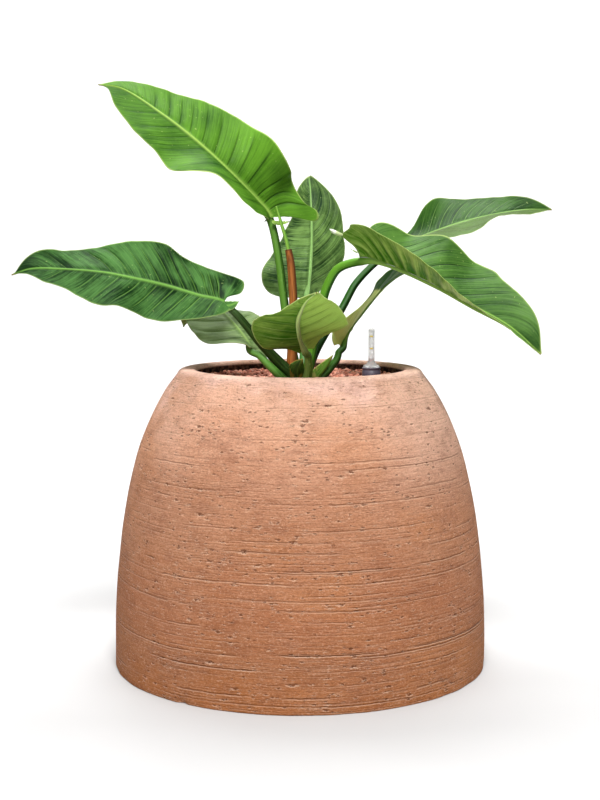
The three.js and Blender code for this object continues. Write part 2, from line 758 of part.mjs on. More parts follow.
function addGauge() {
  const floatHole = FLOAT_RADIUS - 2;
  const capTopRadius = CAP_RADIUS - CAP_STEP;
  const cap = [
    [floatHole, SHAFT_BOTTOM],
    [SHAFT_RADIUS, SHAFT_BOTTOM],
    [SHAFT_RADIUS, CAP_BOTTOM],
    [CAP_RADIUS - 0.8, CAP_BOTTOM],
    [CAP_RADIUS, CAP_BOTTOM + 1.5],
    [CAP_RADIUS, CAP_TOP - 5],
    [capTopRadius, CAP_TOP - 4],
    [capTopRadius, CAP_TOP],
    [TUBE_BORE, CAP_TOP],
    [TUBE_BORE, CAP_BOTTOM + 2],
    [SHAFT_BORE, CAP_BOTTOM - 2],
    [SHAFT_BORE, SHAFT_BOTTOM + SHAFT_LIP],
    [floatHole, SHAFT_BOTTOM + SHAFT_LIP],
    [floatHole, SHAFT_BOTTOM],
  ];
  place('gauge_casing', turned(cap, GAUGE_SIDES, GAUGE_X, GAUGE_Y), material(0x4a4650, 0.5));
  const foot = CAP_TOP + GAP;
  const tube = [
    [TUBE_BORE, foot],
    [capTopRadius - 0.2, foot],
    [capTopRadius - 0.8, foot + 1.2],
    [TUBE_RADIUS + 0.6, SHOULDER_TOP - 1],
    [TUBE_RADIUS, SHOULDER_TOP + 1],
    [TUBE_RADIUS, TUBE_TOP - 1],
    [TUBE_RADIUS - 1, TUBE_TOP],
    [0, TUBE_TOP],
    [0, TUBE_TOP - 2],
    [TUBE_BORE - 0.6, TUBE_TOP - 2],
    [TUBE_BORE, TUBE_TOP - 3],
    [TUBE_BORE, foot],
  ];
  const clear = material(0xdfe3e4, 0.15, { transparent: true, opacity: 0.4 });
  place('gauge_tube', turned(tube, GAUGE_SIDES, GAUGE_X, GAUGE_Y), clear);
  const floatFoot = SHAFT_BOTTOM + SHAFT_LIP + GAP;
  const floatTop = floatFoot + FLOAT_LENGTH;
  const flagFoot = FLOAT_TOP - FLAG_LENGTH;
  const float = [
    [0, floatFoot],
    [FLOAT_RADIUS, floatFoot],
    [FLOAT_RADIUS, floatTop],
    [FLOAT_ROD, floatTop + FLOAT_TAPER],
    [FLOAT_ROD, flagFoot],
    [FLOAT_FLAG, flagFoot + 0.5],
    [FLOAT_FLAG, FLOAT_TOP],
    [0, FLOAT_TOP],
  ];
  place('gauge_float', turned(float, FLOAT_SIDES, GAUGE_X, GAUGE_Y), material(0xc03a22, 0.5));
}

// Leaves and sheaths, each cut clear of the stem and of the stalks placed before it
function addFoliage() {
  const obstacles = [toSolid(turned(stemProfile(GAP), STEM_SIDES))];
  const clearOf = (solid) => mainBody(obstacles.reduce((rest, other) => rest.subtract(other), solid));
  for (const [name, spec] of Object.entries(LEAVES)) {
    const frames = midribFrames(spec);
    const blade = toSolid(bladeBody(spec, frames, BLADE_STATIONS, BLADE_THICKNESS));
    const leaf = clearOf(blade.add(toSolid(stalkBody(spec, frames))));
    place(name, toGeometry(leaf), material(spec.colour, 0.45));
    obstacles.push(toSolid(stalkBody(spec, frames, GAP)));
  }
  addNewLeaf(obstacles, clearOf);
  for (const [name, spec] of Object.entries(SHEATHS)) {
    const half = { lobe: 0, rise: spec.rise };
    const full = { ...spec, right: half, left: half };
    const frames = midribFrames(full);
    const sheath = toSolid(bladeBody(full, frames, SHEATH_STATIONS, BLADE_THICKNESS));
    place(name, toGeometry(clearOf(sheath)), material(spec.colour, 0.6));
    obstacles.push(toSolid(bladeBody(full, frames, SHEATH_STATIONS, BLADE_THICKNESS, GAP)));
  }
  return obstacles;
}

function addNewLeaf(obstacles, clearOf) {
  const rod = (points, radii, extra) => {
    const curve = new THREE.CatmullRomCurve3(toVectors(points));
    const ways = Array.from({ length: NEW_LEAF_RINGS + 1 }, (_, i) => i / NEW_LEAF_RINGS);
    const sizes = ways.map((way) => radii[0] + (radii[1] - radii[0]) * way + extra);
    return toSolid(rodThrough(ways.map((way) => curve.getPoint(way)), sizes, STALK_SIDES));
  };
  const sheath = rod(BROWN_SHEATH, BROWN_SHEATH_RADII, 0).subtract(rod(NEW_LEAF, NEW_LEAF_RADII, GAP));
  place('sheath_brown', toGeometry(clearOf(sheath)), material(0xa8602f, 0.65));
  place('new_leaf', toGeometry(rod(NEW_LEAF, NEW_LEAF_RADII, 0)), material(0x7fae4a, 0.45));
  obstacles.push(rod(BROWN_SHEATH, BROWN_SHEATH_RADII, GAP));
}

addPlanter();
addStemAndPebbles(addFoliage());
addGauge();

export default part;
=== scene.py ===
# Looks of the potted philodendron: planter, clay granules, leaves, sheaths and water gauge.
# Lengths are named in millimetres, as on the object, and meshes are written in metres.
import math

import bpy
import numpy as np
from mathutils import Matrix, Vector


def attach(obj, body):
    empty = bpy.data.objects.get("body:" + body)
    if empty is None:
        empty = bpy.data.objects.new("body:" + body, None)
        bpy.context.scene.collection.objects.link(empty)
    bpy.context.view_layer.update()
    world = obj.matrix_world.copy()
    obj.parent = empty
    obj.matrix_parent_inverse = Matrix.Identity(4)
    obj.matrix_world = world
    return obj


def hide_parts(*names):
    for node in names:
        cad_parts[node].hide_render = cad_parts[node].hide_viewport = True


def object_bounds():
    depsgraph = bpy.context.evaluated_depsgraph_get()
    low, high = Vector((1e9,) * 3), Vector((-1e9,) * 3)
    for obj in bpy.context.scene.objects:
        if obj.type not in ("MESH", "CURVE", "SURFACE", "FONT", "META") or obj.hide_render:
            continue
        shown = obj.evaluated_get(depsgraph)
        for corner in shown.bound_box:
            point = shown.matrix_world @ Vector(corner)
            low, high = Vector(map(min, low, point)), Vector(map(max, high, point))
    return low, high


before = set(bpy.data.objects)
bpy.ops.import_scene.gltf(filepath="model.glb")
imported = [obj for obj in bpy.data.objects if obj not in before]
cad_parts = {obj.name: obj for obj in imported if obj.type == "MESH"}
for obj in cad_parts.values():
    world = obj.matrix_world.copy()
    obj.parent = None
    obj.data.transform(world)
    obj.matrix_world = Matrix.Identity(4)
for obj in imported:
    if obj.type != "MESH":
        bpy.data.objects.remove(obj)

cad_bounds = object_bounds()
MM = 0.001
BODY = "root"

# Planter, as in the CAD
POT_HEIGHT = 370
DOME_RADII = (232.9, 232.6, 230.7, 226.6, 220.7, 211.8, 199.3, 179.3, 151.3)
FOOT_RADIUS = DOME_RADII[0]
RIM_OUTER_RADIUS = DOME_RADII[-1]
RIM_INNER_RADIUS = 129
WALL = 15
FLOOR = 16
LIP_HEIGHT = 22
CHIP_BEARING = 234.5
POT_COLUMNS = 330
POT_ROW_STEP = 2.5
POT_COLOURS = ((0.0, (190, 120, 72)), (0.12, (186, 122, 82)), (0.3, (190, 124, 86)),
               (0.5, (202, 140, 103)), (0.66, (206, 146, 112)), (0.82, (232, 174, 142)),
               (0.93, (240, 188, 160)), (1.0, (250, 204, 186)))
LIP_COLOUR = (250, 206, 186)

# Clay granules
PEBBLE_LEVEL = 357.2
PEBBLE_PITCH = 5.6
PEBBLE_RADIUS = 2.55
PEBBLE_SHAKE = 0.6
PEBBLE_COLOURS = ((0.0, (96, 52, 42)), (0.25, (204, 128, 106)), (0.7, (240, 166, 142)),
                  (1.0, (206, 160, 142)))
LOWER_LAYER_DROP = 4.6
LOWER_LAYER_FROM = 110
BED_DROP = 5
BED_SIDES = 72

# Water gauge
GAUGE_X = 89
GAUGE_Y = 0
CAP_RADIUS = 11.7
CAP_BOTTOM = 356.5
CAP_TOP = 370.6
SHAFT_RADIUS = 9
SHAFT_BOTTOM = 86
TUBE_RADIUS = 3.9
TUBE_BORE = 2.9
SHOULDER_TOP = 378
TUBE_TOP = 419
GAUGE_MARKS = (394.5, 409.5)

# Blades
BLADE_THICKNESS = 0.9
WIDEST_AT = 0.3
BASE_ROUNDING = 0.02
BASE_POWER = 2.6
TIP_POWER = 2.0
TIP_FULLNESS = 1.15
TIP_WIDTH = 0.012
VEIN_LEAN = 0.05
LOBE_REACH = 0.13
LOBE_DETAIL_END = 0.22
EDGE_CURL = 8
MARGIN_POWER = 0.75
MIDRIB_END = 0.97
MIDRIB_TIP_RADIUS = 0.6
MIDRIB_SINK = 1.0
BLADE_ROWS = 190
BLADE_COLUMNS = 36
VEIN_CREASE = 0.5
ROD_SIDES = 20
# Way from which the painted light on stalks falls; their other side is painted in shade
LIT_SIDE = (-0.8, -0.3, 0.5)

# Camera, fitted to the photograph's frame of 600 by 800 pixels
CAMERA_PLACE = (0.0, -1.8, 0.522)
CAMERA_PITCH = 6.1
CAMERA_LENS = 65.16
SENSOR_HEIGHT = 36

# Leaves by the same points as in the CAD: stalk and midrib in millimetres from the stem to the tip, the
# way the upper face looks and the full width. Each half then has its base lobe, its rise in degrees from
# base to tip, the share of the plain half width and the shift of the margin towards the tip (both at
# even steps of the length to the power 0.75), where its lateral veins start, how far these lean to the
# tip, how pale (or, if negative, how dark, as painted shade in the creases) they look, and how deep the
# folds between them are. Some halves also paint light and shade into their colour: across the folds, as
# a crumpled look near the foot, as a sheen over the whole half, or as a darker far part.
LEAVES = {
    "leaf_upper_left": dict(
        stalk=[(-3, 5, 344), (-6, 8, 370), (-11, 10, 398), (-18, 14, 439), (-26, 20, 501)],
        midrib=[(-36, 25, 557), (-52, 18, 578), (-91, 8, 617), (-127, 4, 650), (-171, 6, 684),
                (-221, 16, 715), (-250, 24, 720)],
        facing=(0.1, -0.75, 0.65), width=137, stalk_radius=5.6,
        right=dict(lobe=44, rise=(23, 51, 11, -5, -14, -13, -10),
                   trim=(0.47, 1.09, 0.75, 0.94, 0.94, 0.97, 1.01, 0.99, 0.97, 1, 1.01),
                   shift=(21, -2, -3, -7, -3, 0, 1, 0, 0, 0, 1),
                   lobe_out=(-21.5, 5.5, 12.2, 2.7, -1.4, 0, 0), lobe_shift=(6.5, -2, -7.2, 6.8, 6.1, 0, 0),
                   veins=(0.03, 0.065, 0.11, 0.18, 0.24, 0.3, 0.38, 0.45, 0.52, 0.575, 0.635, 0.71),
                   # The raised tone with the lowered far part paints light onto the base of this half
                   lean=0.05, line=-0.32, fold=1.1, groove=0.7, painted_fold_shading=0.4, tone=0.26, tone_far=-0.24,
                   far=(0.3, 0.46, 0), painted_crumple_shading=0.22),
        left=dict(lobe=2, rise=(41, 35, 36, -1, -1, -4, 6),
                  trim=(1, 1, 1.01, 1.03, 1.04, 1.02, 0.87, 0.94, 0.98, 1.11, 1.1),
                  shift=(1, 1, 1, 1, 1, 2, 0, 1, 2, 1, -10),
                  veins=(0.08, 0.2, 0.31, 0.43, 0.51, 0.58, 0.68), lean=0.12, line=-0.25, fold=0.5,
                  groove=0.4, tone=-0.22, hem=(0.13, 0.42, 5.0))),
    "leaf_left": dict(
        stalk=[(-6, 0, 346), (-12, -3, 363), (-27, -9, 379), (-48, -18, 402), (-73, -27, 433)],
        midrib=[(-92, -30, 454), (-123, -33, 462), (-163, -38, 474), (-202, -44, 483), (-237, -50, 490),
                (-284, -58, 494), (-322, -64, 494), (-344, -68, 487)],
        facing=(0, -0.6, 0.8), width=122, stalk_radius=6.6, stalk_ends=(1.35, 0.62), rib_share=0.6,
        right=dict(lobe=35, rise=(-4, 3, 9, 7, -6, 16, 49),
                   trim=(0.45, 0.96, 0.96, 0.86, 1.03, 1, 0.94, 0.99, 0.95, 1.22, 1.17),
                   shift=(18, 0, -1, 3, -2, -3, -4, -4, -4, -1, -3),
                   lobe_out=(-8.6, -2.2, 1.2, 6.7, -0.7, 0, 0), lobe_shift=(1, 2.7, -1.2, 2.9, 5.2, 0, 0),
                   veins=(0.02, 0.045, 0.075, 0.13, 0.19, 0.25, 0.31, 0.37, 0.45, 0.53, 0.74),
                   lean=0.11, line=0.3, fold=2.2, groove=0.7, painted_fold_shading=0.6,
                   tone=-0.2, tone_far=0.12, painted_crumple_shading=0.4),
        left=dict(lobe=16, rise=(5, -8, -25, -5, -16, -9, 9),
                  trim=(0.35, 0.71, 0.77, 0.86, 0.83, 0.87, 1.05, 0.92, 0.84, 1.03, 1),
                  shift=(-2, -1, -1, -2, -2, -4, 3, 0, -2, -2, -6),
                  veins=(0.04, 0.11, 0.17, 0.24, 0.32, 0.4, 0.5, 0.6, 0.76), lean=0.09, line=0.35, fold=0.7,
                  groove=0.3, tone=-0.04)),
    "leaf_back": dict(
        stalk=[(3, 6, 345), (4, 14, 369), (5, 30, 396), (6, 52, 427)],
        midrib=[(8, 75, 454), (12, 100, 476), (15, 140, 512), (16, 180, 553), (15, 213, 583), (13, 250, 618)],
        facing=(0, -0.8, 0.6), width=131, stalk_radius=5,
        right=dict(lobe=-5, rise=(-56, -63, -58, -46, -33, 2, 46),
                   trim=(0.6, 0.56, 0.53, 0.7, 0.83, 0.94, 1, 1.01, 1.04, 0.99, 1.02),
                   shift=(26, 14, 9, 4, 1, 0, -1, -1, 0, 1, 6),
                   veins=(0.08, 0.2, 0.34, 0.43, 0.51, 0.65), lean=0.36, line=0.35, fold=1.2, groove=0.3,
                   tone=-0.14, painted_crumple_shading=0.4),
        left=dict(lobe=-1, rise=(-38, -34, -28, -37, -43, -41, 14),
                  trim=(0.45, 0.79, 0.99, 1.1, 1.09, 1.03, 0.96, 0.99, 0.98, 1.02, 1.04),
                  shift=(8, 4, 0, 0, 0, 0, 0, 0, 1, 4, 3),
                  veins=(0.05, 0.15, 0.25, 0.33, 0.41, 0.5, 0.6, 0.72), lean=0.1, line=0.25, fold=0.5,
                  tone=-0.06)),
    "leaf_right_top": dict(
        stalk=[(6, 4, 344), (11, 10, 366), (19, 18, 388), (34, 32, 414), (53, 45, 441), (71, 58, 473)],
        midrib=[(94, 70, 501), (123, 82, 519), (165, 95, 537), (214, 108, 553), (257, 118, 563),
                (300, 126, 569), (333, 131, 569)],
        facing=(0, -0.5, 0.85), width=126, stalk_radius=5.2,
        right=dict(lobe=8, rise=(23, 35, 20, 16, 26, 16, 2),
                   trim=(0.99, 1, 1.02, 1.04, 1.05, 1.02, 0.98, 0.97, 0.98, 1.01, 1.02),
                   shift=(0, 0, 0, 0, 0, 0, 0, 0, 0, 0, -4),
                   veins=(0.1, 0.24, 0.38, 0.52, 0.66), lean=0.15, line=0.2, fold=0.5, groove=0.2,
                   tone=-0.14, painted_sheen=0.2),
        left=dict(lobe=8, rise=(-36, -40, -31, 0, -3, 14, 48),
                  trim=(0.99, 0.99, 1, 1.03, 1.09, 1.15, 0.97, 0.99, 0.96, 1.02, 1.03),
                  shift=(0, 0, 0, 1, 2, 2, -2, -2, -1, 1, 2),
                  veins=(0.1, 0.25, 0.32, 0.39, 0.46, 0.53, 0.6, 0.67, 0.79), lean=0.15, line=0.4,
                  fold=0.5, groove=0.3, tone=-0.12)),
    "leaf_right_drooping": dict(
        stalk=[(7, -2, 343), (10, -4, 366), (15, -6, 393), (24, -8, 433), (32, -11, 468), (47, -15, 494)],
        midrib=[(73, -22, 508), (109, -32, 499), (167, -48, 473), (211, -60, 448), (251, -70, 425),
                (287, -80, 393)],
        facing=(0, -0.1, 1), width=146, stalk_radius=6, rib_share=0.6,
        right=dict(lobe=30, rise=(37, 26, 22, 15, 9, 7, 7),
                   trim=(0.62, 0.94, 1.1, 1.13, 1.05, 1, 0.99, 0.99, 1, 1, 1),
                   shift=(20, 4, -3, -2, -1, -1, 0, 0, 0, 0, 0),
                   lobe_out=(-7.6, 7.2, 13.4, 9.4, 4.3, 0, 0), lobe_shift=(-0.9, -1.3, -4.3, 8.2, 2.7, 0, 0),
                   veins=(0.03, 0.07, 0.11, 0.155, 0.2, 0.25, 0.31, 0.38, 0.46, 0.55), lean=-0.05,
                   line=0.3, fold=2.6, groove=0.3, painted_fold_shading=-0.5, tone=-0.04, tone_far=0.34),
        left=dict(lobe=11, rise=(47, 24, 40, 28, 42, 55, 77),
                  trim=(1.09, 1.11, 1.02, 1.04, 0.97, 0.95, 1, 0.93, 0.98, 1.05, 1.06),
                  shift=(10, 4, 0, 1, 2, 3, 5, 3, 4, 5, 2),
                  veins=(0.04, 0.1, 0.16, 0.26, 0.36, 0.51, 0.6, 0.7), lean=0.21, line=-0.6,
                  fold=1.2, groove=0.8)),
    "leaf_right_narrow": dict(
        stalk=[(8, -3, 338), (38.5, -1, 371), (46.5, 1, 382)],
        midrib=[(50, 6, 397), (57, 14, 410), (66, 25, 423), (78, 40, 437), (91, 56, 452), (106, 76, 468),
                (133, 98, 486), (184, 128, 497)],
        facing=(-0.4, 0.3, 0.85), width=114, stalk_radius=4.8, rib_share=0.5,
        right=dict(lobe=20, rise=(19, 6, 9, 4, -9, -22, -22),
                   trim=(0.99, 0.99, 0.95, 0.98, 1.05, 1.06, 1, 1, 1, 1, 1),
                   # The far part is painted dark with a hard edge across the blade: painted shade
                   shift=(1, -1, 0, 0, 0, -1, -1, 0, 0, 0, 0), tone=0.55, tone_far=-1.2,
                   far=(0.5, 0.55, 0.333),
                   veins=(0.08, 0.2, 0.33, 0.46, 0.6, 0.74), lean=0.1, line=0.3, fold=0.7, groove=0.2),
        left=dict(lobe=1, rise=(-5, -15, -11, -11, 0, 19, 39),
                  trim=(1, 1, 1, 0.99, 0.97, 0.94, 0.96, 0.93, 0.93, 1, 1.03),
                  shift=(0, 0, 0, 0, 0, 0, 0, -1, -1, 1, 1),
                  veins=(0.08, 0.18, 0.28, 0.4, 0.53, 0.7), lean=0.1, line=0.4, fold=1.0, tone=0.5)),
    "leaf_front": dict(
        stalk=[(5, -7, 344), (9, -14, 360), (11, -21, 374), (10, -28, 386)],
        midrib=[(7, -38, 396), (1, -60, 409), (-2, -90, 425), (-2, -120, 439), (2, -148, 451),
                (8, -175, 462), (18, -195, 470)],
        facing=(0, 0.45, 0.9), width=108, stalk_radius=5.2,
        right=dict(lobe=5, rise=(2, -16, -6, -7, -16, -27, -15),
                   trim=(0.45, 0.7, 0.86, 0.97, 1.02, 1.01, 1, 1.01, 1.02, 1.05, 1.03),
                   shift=(-6, 1, 3, 2, 1, 0, 0, 1, 2, 4, 3),
                   veins=(0.08, 0.2, 0.3, 0.42, 0.55, 0.7), lean=0.08, line=0.2, fold=1.0, groove=-0.2,
                   tone=-0.2),
        left=dict(lobe=-1, rise=(24, 7, 5, 10, 12, 12, 36),
                  trim=(0.45, 0.73, 0.95, 1.11, 1.09, 1.03, 1.01, 1.01, 0.99, 1.02, 1.03),
                  shift=(-6, 3, 4, 2, 0, 0, 0, 0, 1, 3, 3),
                  veins=(0.1, 0.22, 0.34, 0.46, 0.6, 0.74), lean=0.16, line=-0.2, fold=0.6, groove=-0.2,
                  tone=0.3)),
    "leaf_left_low": dict(
        stalk=[(-6, -6, 342), (-25, -13, 361), (-43, -14, 379)],
        midrib=[(-58, -8, 395), (-71, 5, 412), (-86, 22, 428), (-102, 42, 441), (-121, 62, 446),
                (-139, 80, 437), (-153, 94, 416)],
        facing=(0, 0.35, 0.9), width=112, stalk_radius=5, rib_share=0.4,
        right=dict(lobe=22, rise=(15, 12, 10, 7, 4, 16, 41),
                   veins=(0.08, 0.2, 0.33, 0.46, 0.6, 0.74), lean=0.08, line=0.35, fold=1.2),
        left=dict(lobe=1, rise=(-10, -49, -41, -30, -14, 3, 20),
                  trim=(0.85, 0.86, 0.86, 0.93, 0.97, 0.99, 1, 1, 1, 1, 1),
                  shift=(-4, 0, 3, 1, 0, 0, 0, 0, 0, 0, 0),
                  veins=(0.1, 0.21, 0.33, 0.45, 0.58, 0.72), lean=0.1, line=0.35, fold=1.3)),
}

# Colours of each leaf: dark and light of the upper face, of the underside, the midrib and the painted
# lit and painted shaded side of the stalk; then the slot and how glossy the upper face is
LEAF_LOOKS = {
    "leaf_upper_left": dict(dark=(14, 58, 8), light=(98, 150, 40), under=(140, 176, 76), deep=(96, 138, 44),
                            rib=(150, 184, 84), stalk=(88, 132, 46), shade=(26, 62, 10),
                            slot="leaf", gloss=0.42, contrast=0.55),
    "leaf_left": dict(dark=(8, 36, 8), light=(72, 114, 56), under=(112, 144, 90), deep=(80, 112, 62),
                      rib=(112, 160, 72), stalk=(54, 82, 32), shade=(10, 26, 4), slot="leaf_dark", gloss=0.3,
                      gleam=0.03, contrast=1.35),
    "leaf_back": dict(dark=(14, 44, 12), light=(104, 136, 70), under=(112, 144, 90), deep=(80, 112, 62),
                      rib=(124, 162, 90), stalk=(70, 116, 52), shade=(34, 66, 26),
                      slot="leaf_dark", gloss=0.34, contrast=1.4),
    "leaf_right_top": dict(dark=(8, 42, 6), light=(64, 104, 38), under=(140, 168, 110), deep=(110, 136, 84),
                           rib=(120, 160, 80), stalk=(32, 80, 10), shade=(5, 20, 1), slot="leaf", gloss=0.36),
    "leaf_right_drooping": dict(dark=(14, 52, 12), light=(84, 124, 52), under=(172, 200, 104),
                                deep=(54, 116, 4), rib=(146, 186, 86), stalk=(94, 146, 42),
                                shade=(34, 78, 14), slot="leaf", gloss=0.34),
    "leaf_right_narrow": dict(dark=(26, 64, 20), light=(84, 124, 52), under=(200, 220, 122), deep=(26, 80, 4),
                              rib=(120, 160, 70), stalk=(54, 96, 32), shade=(14, 40, 6), slot="leaf_pale",
                              gloss=0.4),
    "leaf_front": dict(dark=(54, 104, 38), light=(104, 152, 62), under=(170, 216, 100), deep=(46, 106, 2),
                       rib=(214, 250, 156), stalk=(160, 200, 104), shade=(84, 124, 40),
                       slot="leaf", gloss=0.4),
    "leaf_left_low": dict(dark=(54, 80, 38), light=(128, 150, 96), under=(158, 164, 104), deep=(84, 104, 48),
                          rib=(124, 152, 82), stalk=(96, 146, 60), shade=(34, 76, 18), slot="leaf_pale",
                          gloss=0.4),
}

# Small curled ends of base lobes: points and radii along them
EXTRA_TIPS = {
    "leaf_right_drooping": [
        ([(50, -75, 534), (44, -78, 536), (38, -80, 539), (35, -81, 541)], (1.6, 2.4, 1.9, 0.3)),
        ([(70.6, -12, 513), (65, -14, 516), (61, -15, 519)], (1.2, 0.9, 0.4)),
    ],
}

# Small ears of blade at the foot of two leaves, and the shape of both their halves
EXTRA_FLAPS = {
    "leaf_left": [dict(midrib=[(-99, -41, 447.5), (-90, -34, 448.5), (-82, -30, 450.5), (-74.5, -26, 453.8)],
                       facing=(0.4, -0.65, 0.65), width=15)],
    "leaf_upper_left": [dict(midrib=[(-35, 19, 552), (-28, 18, 550), (-21, 17, 550), (-13, 16, 551.5)],
                             facing=(0, -0.8, 0.6), width=6.5)],
}
# The ears' raised tone is painted light, lifting them out of their shade
FLAP_HALF = dict(lobe=0, tone=0.25, rise=(-20, -20, -10, -10, -10, -10, -10))

SHEATHS = {
    "sheath_front": dict(
        midrib=[(-3, -10, 346), (-4, -17, 359), (-3, -21, 371), (3, -22, 383)],
        facing=(0, 1, 0.2), width=34, rise=(40, 42, 44, 42, 40, 35, 30)),
    "sheath_right": dict(
        midrib=[(8, -7, 342), (20, -10, 356), (31, -12, 371), (40, -13, 387)],
        facing=(-0.5, 0.8, 0.4), width=22, rise=(50, 50, 45, 40, 35, 30, 25)),
}
BROWN_SHEATH = [(-5, -3, 344), (-9.5, -3, 366), (-9.3, -2, 405), (-8.3, 0, 452), (-11.3, 2, 500),
                (-14.3, 2, 517)]
BROWN_SHEATH_RADII = (7.2, 3.9)
NEW_LEAF = [(-9.3, -1, 440), (-11.3, 2, 495), (-16.3, 2, 525), (-23.3, 3, 549), (-29.3, 4, 570)]
NEW_LEAF_RADII = (3, 1.3)


# Numbers and curves


def linear(colour):
    """Scene-linear colour of an ordinary 0 to 255 colour."""
    parts = np.asarray(colour, float) / 255
    straight = np.where(parts <= 0.04045, parts / 12.92, ((parts + 0.055) / 1.055) ** 2.4)
    return (*straight.tolist(), 1.0)


def curve_points(points, ways):
    """Points of the smooth curve through points, at ways from 0 to 1 (centripetal spacing)."""
    points = np.asarray(points, float)
    count = len(points)
    place = (count - 1) * np.atleast_1d(ways)
    i = np.minimum(np.floor(place).astype(int), count - 2)
    w = (place - i)[:, None]
    ends = np.vstack([2 * points[0] - points[1], points, 2 * points[-1] - points[-2]])
    a, b, c, d = ends[i], ends[i + 1], ends[i + 2], ends[i + 3]

    def spacing(p, q):
        return ((p - q) ** 2).sum(-1, keepdims=True) ** 0.25

    before, here, after = spacing(a, b), spacing(b, c), spacing(c, d)
    leaving = ((b - a) / before - (c - a) / (before + here) + (c - b) / here) * here
    arriving = ((c - b) / here - (d - b) / (here + after) + (d - c) / after) * here
    cubic = 2 * b - 2 * c + leaving + arriving
    square = -3 * b + 3 * c - 2 * leaving - arriving
    return b + leaving * w + square * w**2 + cubic * w**3


def smooth_through(values, u):
    """Smooth value at u, from 0 to 1, through evenly spaced values."""
    values = np.asarray(values, float)
    last = len(values) - 1
    place = np.clip(u, 0, 1) * last
    i = np.minimum(np.floor(place).astype(int), last - 1)
    w = place - i
    ends = np.concatenate([[2 * values[0] - values[1]], values, [2 * values[-1] - values[-2]]])
    a, b, c, d = ends[i], ends[i + 1], ends[i + 2], ends[i + 3]
    return b + 0.5 * w * (c - a + w * (2 * a - 5 * b + 4 * c - d + w * (3 * (b - c) + d - a)))


def smoothstep(low, high, x):
    t = np.clip((x - low) / (high - low), 0, 1)
    return t * t * (3 - 2 * t)


# Meshes


def make_piece(name, points, faces, materials, indices=None, uv=None, values=None, within=None):
    """Mesh object from points in millimetres, with a material index per face and layers per point."""
    mesh = bpy.data.meshes.new(name)
    points = np.asarray(points, float) * MM
    if within:
        points = np.clip(points, *within)
    mesh.from_pydata(points.tolist(), [], [tuple(f) for f in faces])
    for material in materials:
        mesh.materials.append(material)
    mesh.polygons.foreach_set("use_smooth", [True] * len(mesh.polygons))
    if indices is not None:
        mesh.polygons.foreach_set("material_index", np.asarray(indices, np.int32))
    corners = np.zeros(len(mesh.loops), np.int32)
    mesh.loops.foreach_get("vertex_index", corners)
    if uv is not None:
        layer = mesh.uv_layers.new(name="UVMap")
        layer.data.foreach_set("uv", np.asarray(uv, np.float32)[corners].ravel())
    for key, value in (values or {}).items():
        layer = mesh.attributes.new(key, "FLOAT", "POINT")
        layer.data.foreach_set("value", np.asarray(value, np.float32))
    mesh.update()
    piece = bpy.data.objects.new(name, mesh)
    bpy.context.scene.collection.objects.link(piece)
    return piece


def settle(piece, slot, *nodes):
    """Rides the piece on the body and hides the CAD nodes that it stands for; slot is not used."""
    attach(piece, BODY)
    if nodes:
        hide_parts(*nodes)


def grid_faces(rows, columns, start=0, closed=False, flip=False):
    """Quads of a grid of points, row by row; a closed grid joins its last column to its first."""
    across = columns if closed else columns - 1
    faces = []
    for i in range(rows - 1):
        for k in range(across):
            a = start + i * columns + k
            b = start + i * columns + (k + 1) % columns
            quad = (a, b, b + columns, a + columns)
            faces.append(quad[::-1] if flip else quad)
    return faces


def rod_points(centres, radii, sides, flute=None):
    """Rings of points round a path, with parallel directions from ring to ring."""
    centres = np.asarray(centres, float)
    tangents = np.gradient(centres, axis=0)
    tangents /= np.linalg.norm(tangents, axis=1)[:, None]
    normal = np.array([1.0, 0, 0]) if abs(tangents[0][2]) > 0.9 else np.array([0, 0, 1.0])
    turns = np.linspace(0, 2 * np.pi, sides, endpoint=False)
    rings = []
    for i, (centre, tangent, radius) in enumerate(zip(centres, tangents, radii)):
        normal = normal - normal @ tangent * tangent
        normal /= np.linalg.norm(normal)
        side = np.cross(tangent, normal)
        reach = radius * (1 if flute is None else flute(i / (len(centres) - 1), turns))
        reach = np.broadcast_to(reach, turns.shape)[:, None]
        rings.append(centre + reach * (np.cos(turns)[:, None] * normal + np.sin(turns)[:, None] * side))
    return np.concatenate(rings)


def capped_rod(centres, radii, sides, flute=None):
    """Points and faces of a closed rod, and the way along it of each point."""
    points = rod_points(centres, radii, sides, flute)
    rows = len(centres)
    faces = grid_faces(rows, sides, closed=True)
    ends = [points[:sides].mean(0), points[-sides:].mean(0)]
    points = np.vstack([points, ends])
    for k in range(sides):
        after = (k + 1) % sides
        faces.append((rows * sides, after, k))
        faces.append((rows * sides + 1, (rows - 1) * sides + k, (rows - 1) * sides + after))
    along = np.concatenate([np.repeat(np.linspace(0, 1, rows), sides), [0, 1]])
    around = np.concatenate([np.tile(np.linspace(0, 1, sides, endpoint=False), rows), [0, 0]])
    return points, faces, along, around


def turned(name, profile, sides, materials, x=0.0, y=0.0):
    """Solid of revolution from a profile of (radius, height); points on the axis become one point."""
    turns = np.linspace(0, 2 * np.pi, sides, endpoint=False)
    points = []
    rings = []
    for radius, height in profile:
        if radius < 1e-6:
            rings.append([len(points)] * sides)
            points.append((x, y, height))
        else:
            rings.append(list(range(len(points), len(points) + sides)))
            points += [(x + radius * math.cos(t), y + radius * math.sin(t), height) for t in turns]
    faces = []
    for low, high in zip(rings, rings[1:]):
        for k in range(sides):
            after = (k + 1) % sides
            quad = [low[k], low[after], high[after], high[k]]
            face = [v for n, v in enumerate(quad) if v not in quad[:n]]
            if len(face) > 2:
                faces.append(tuple(face))
    return make_piece(name, points, faces, materials)


# Shader nodes


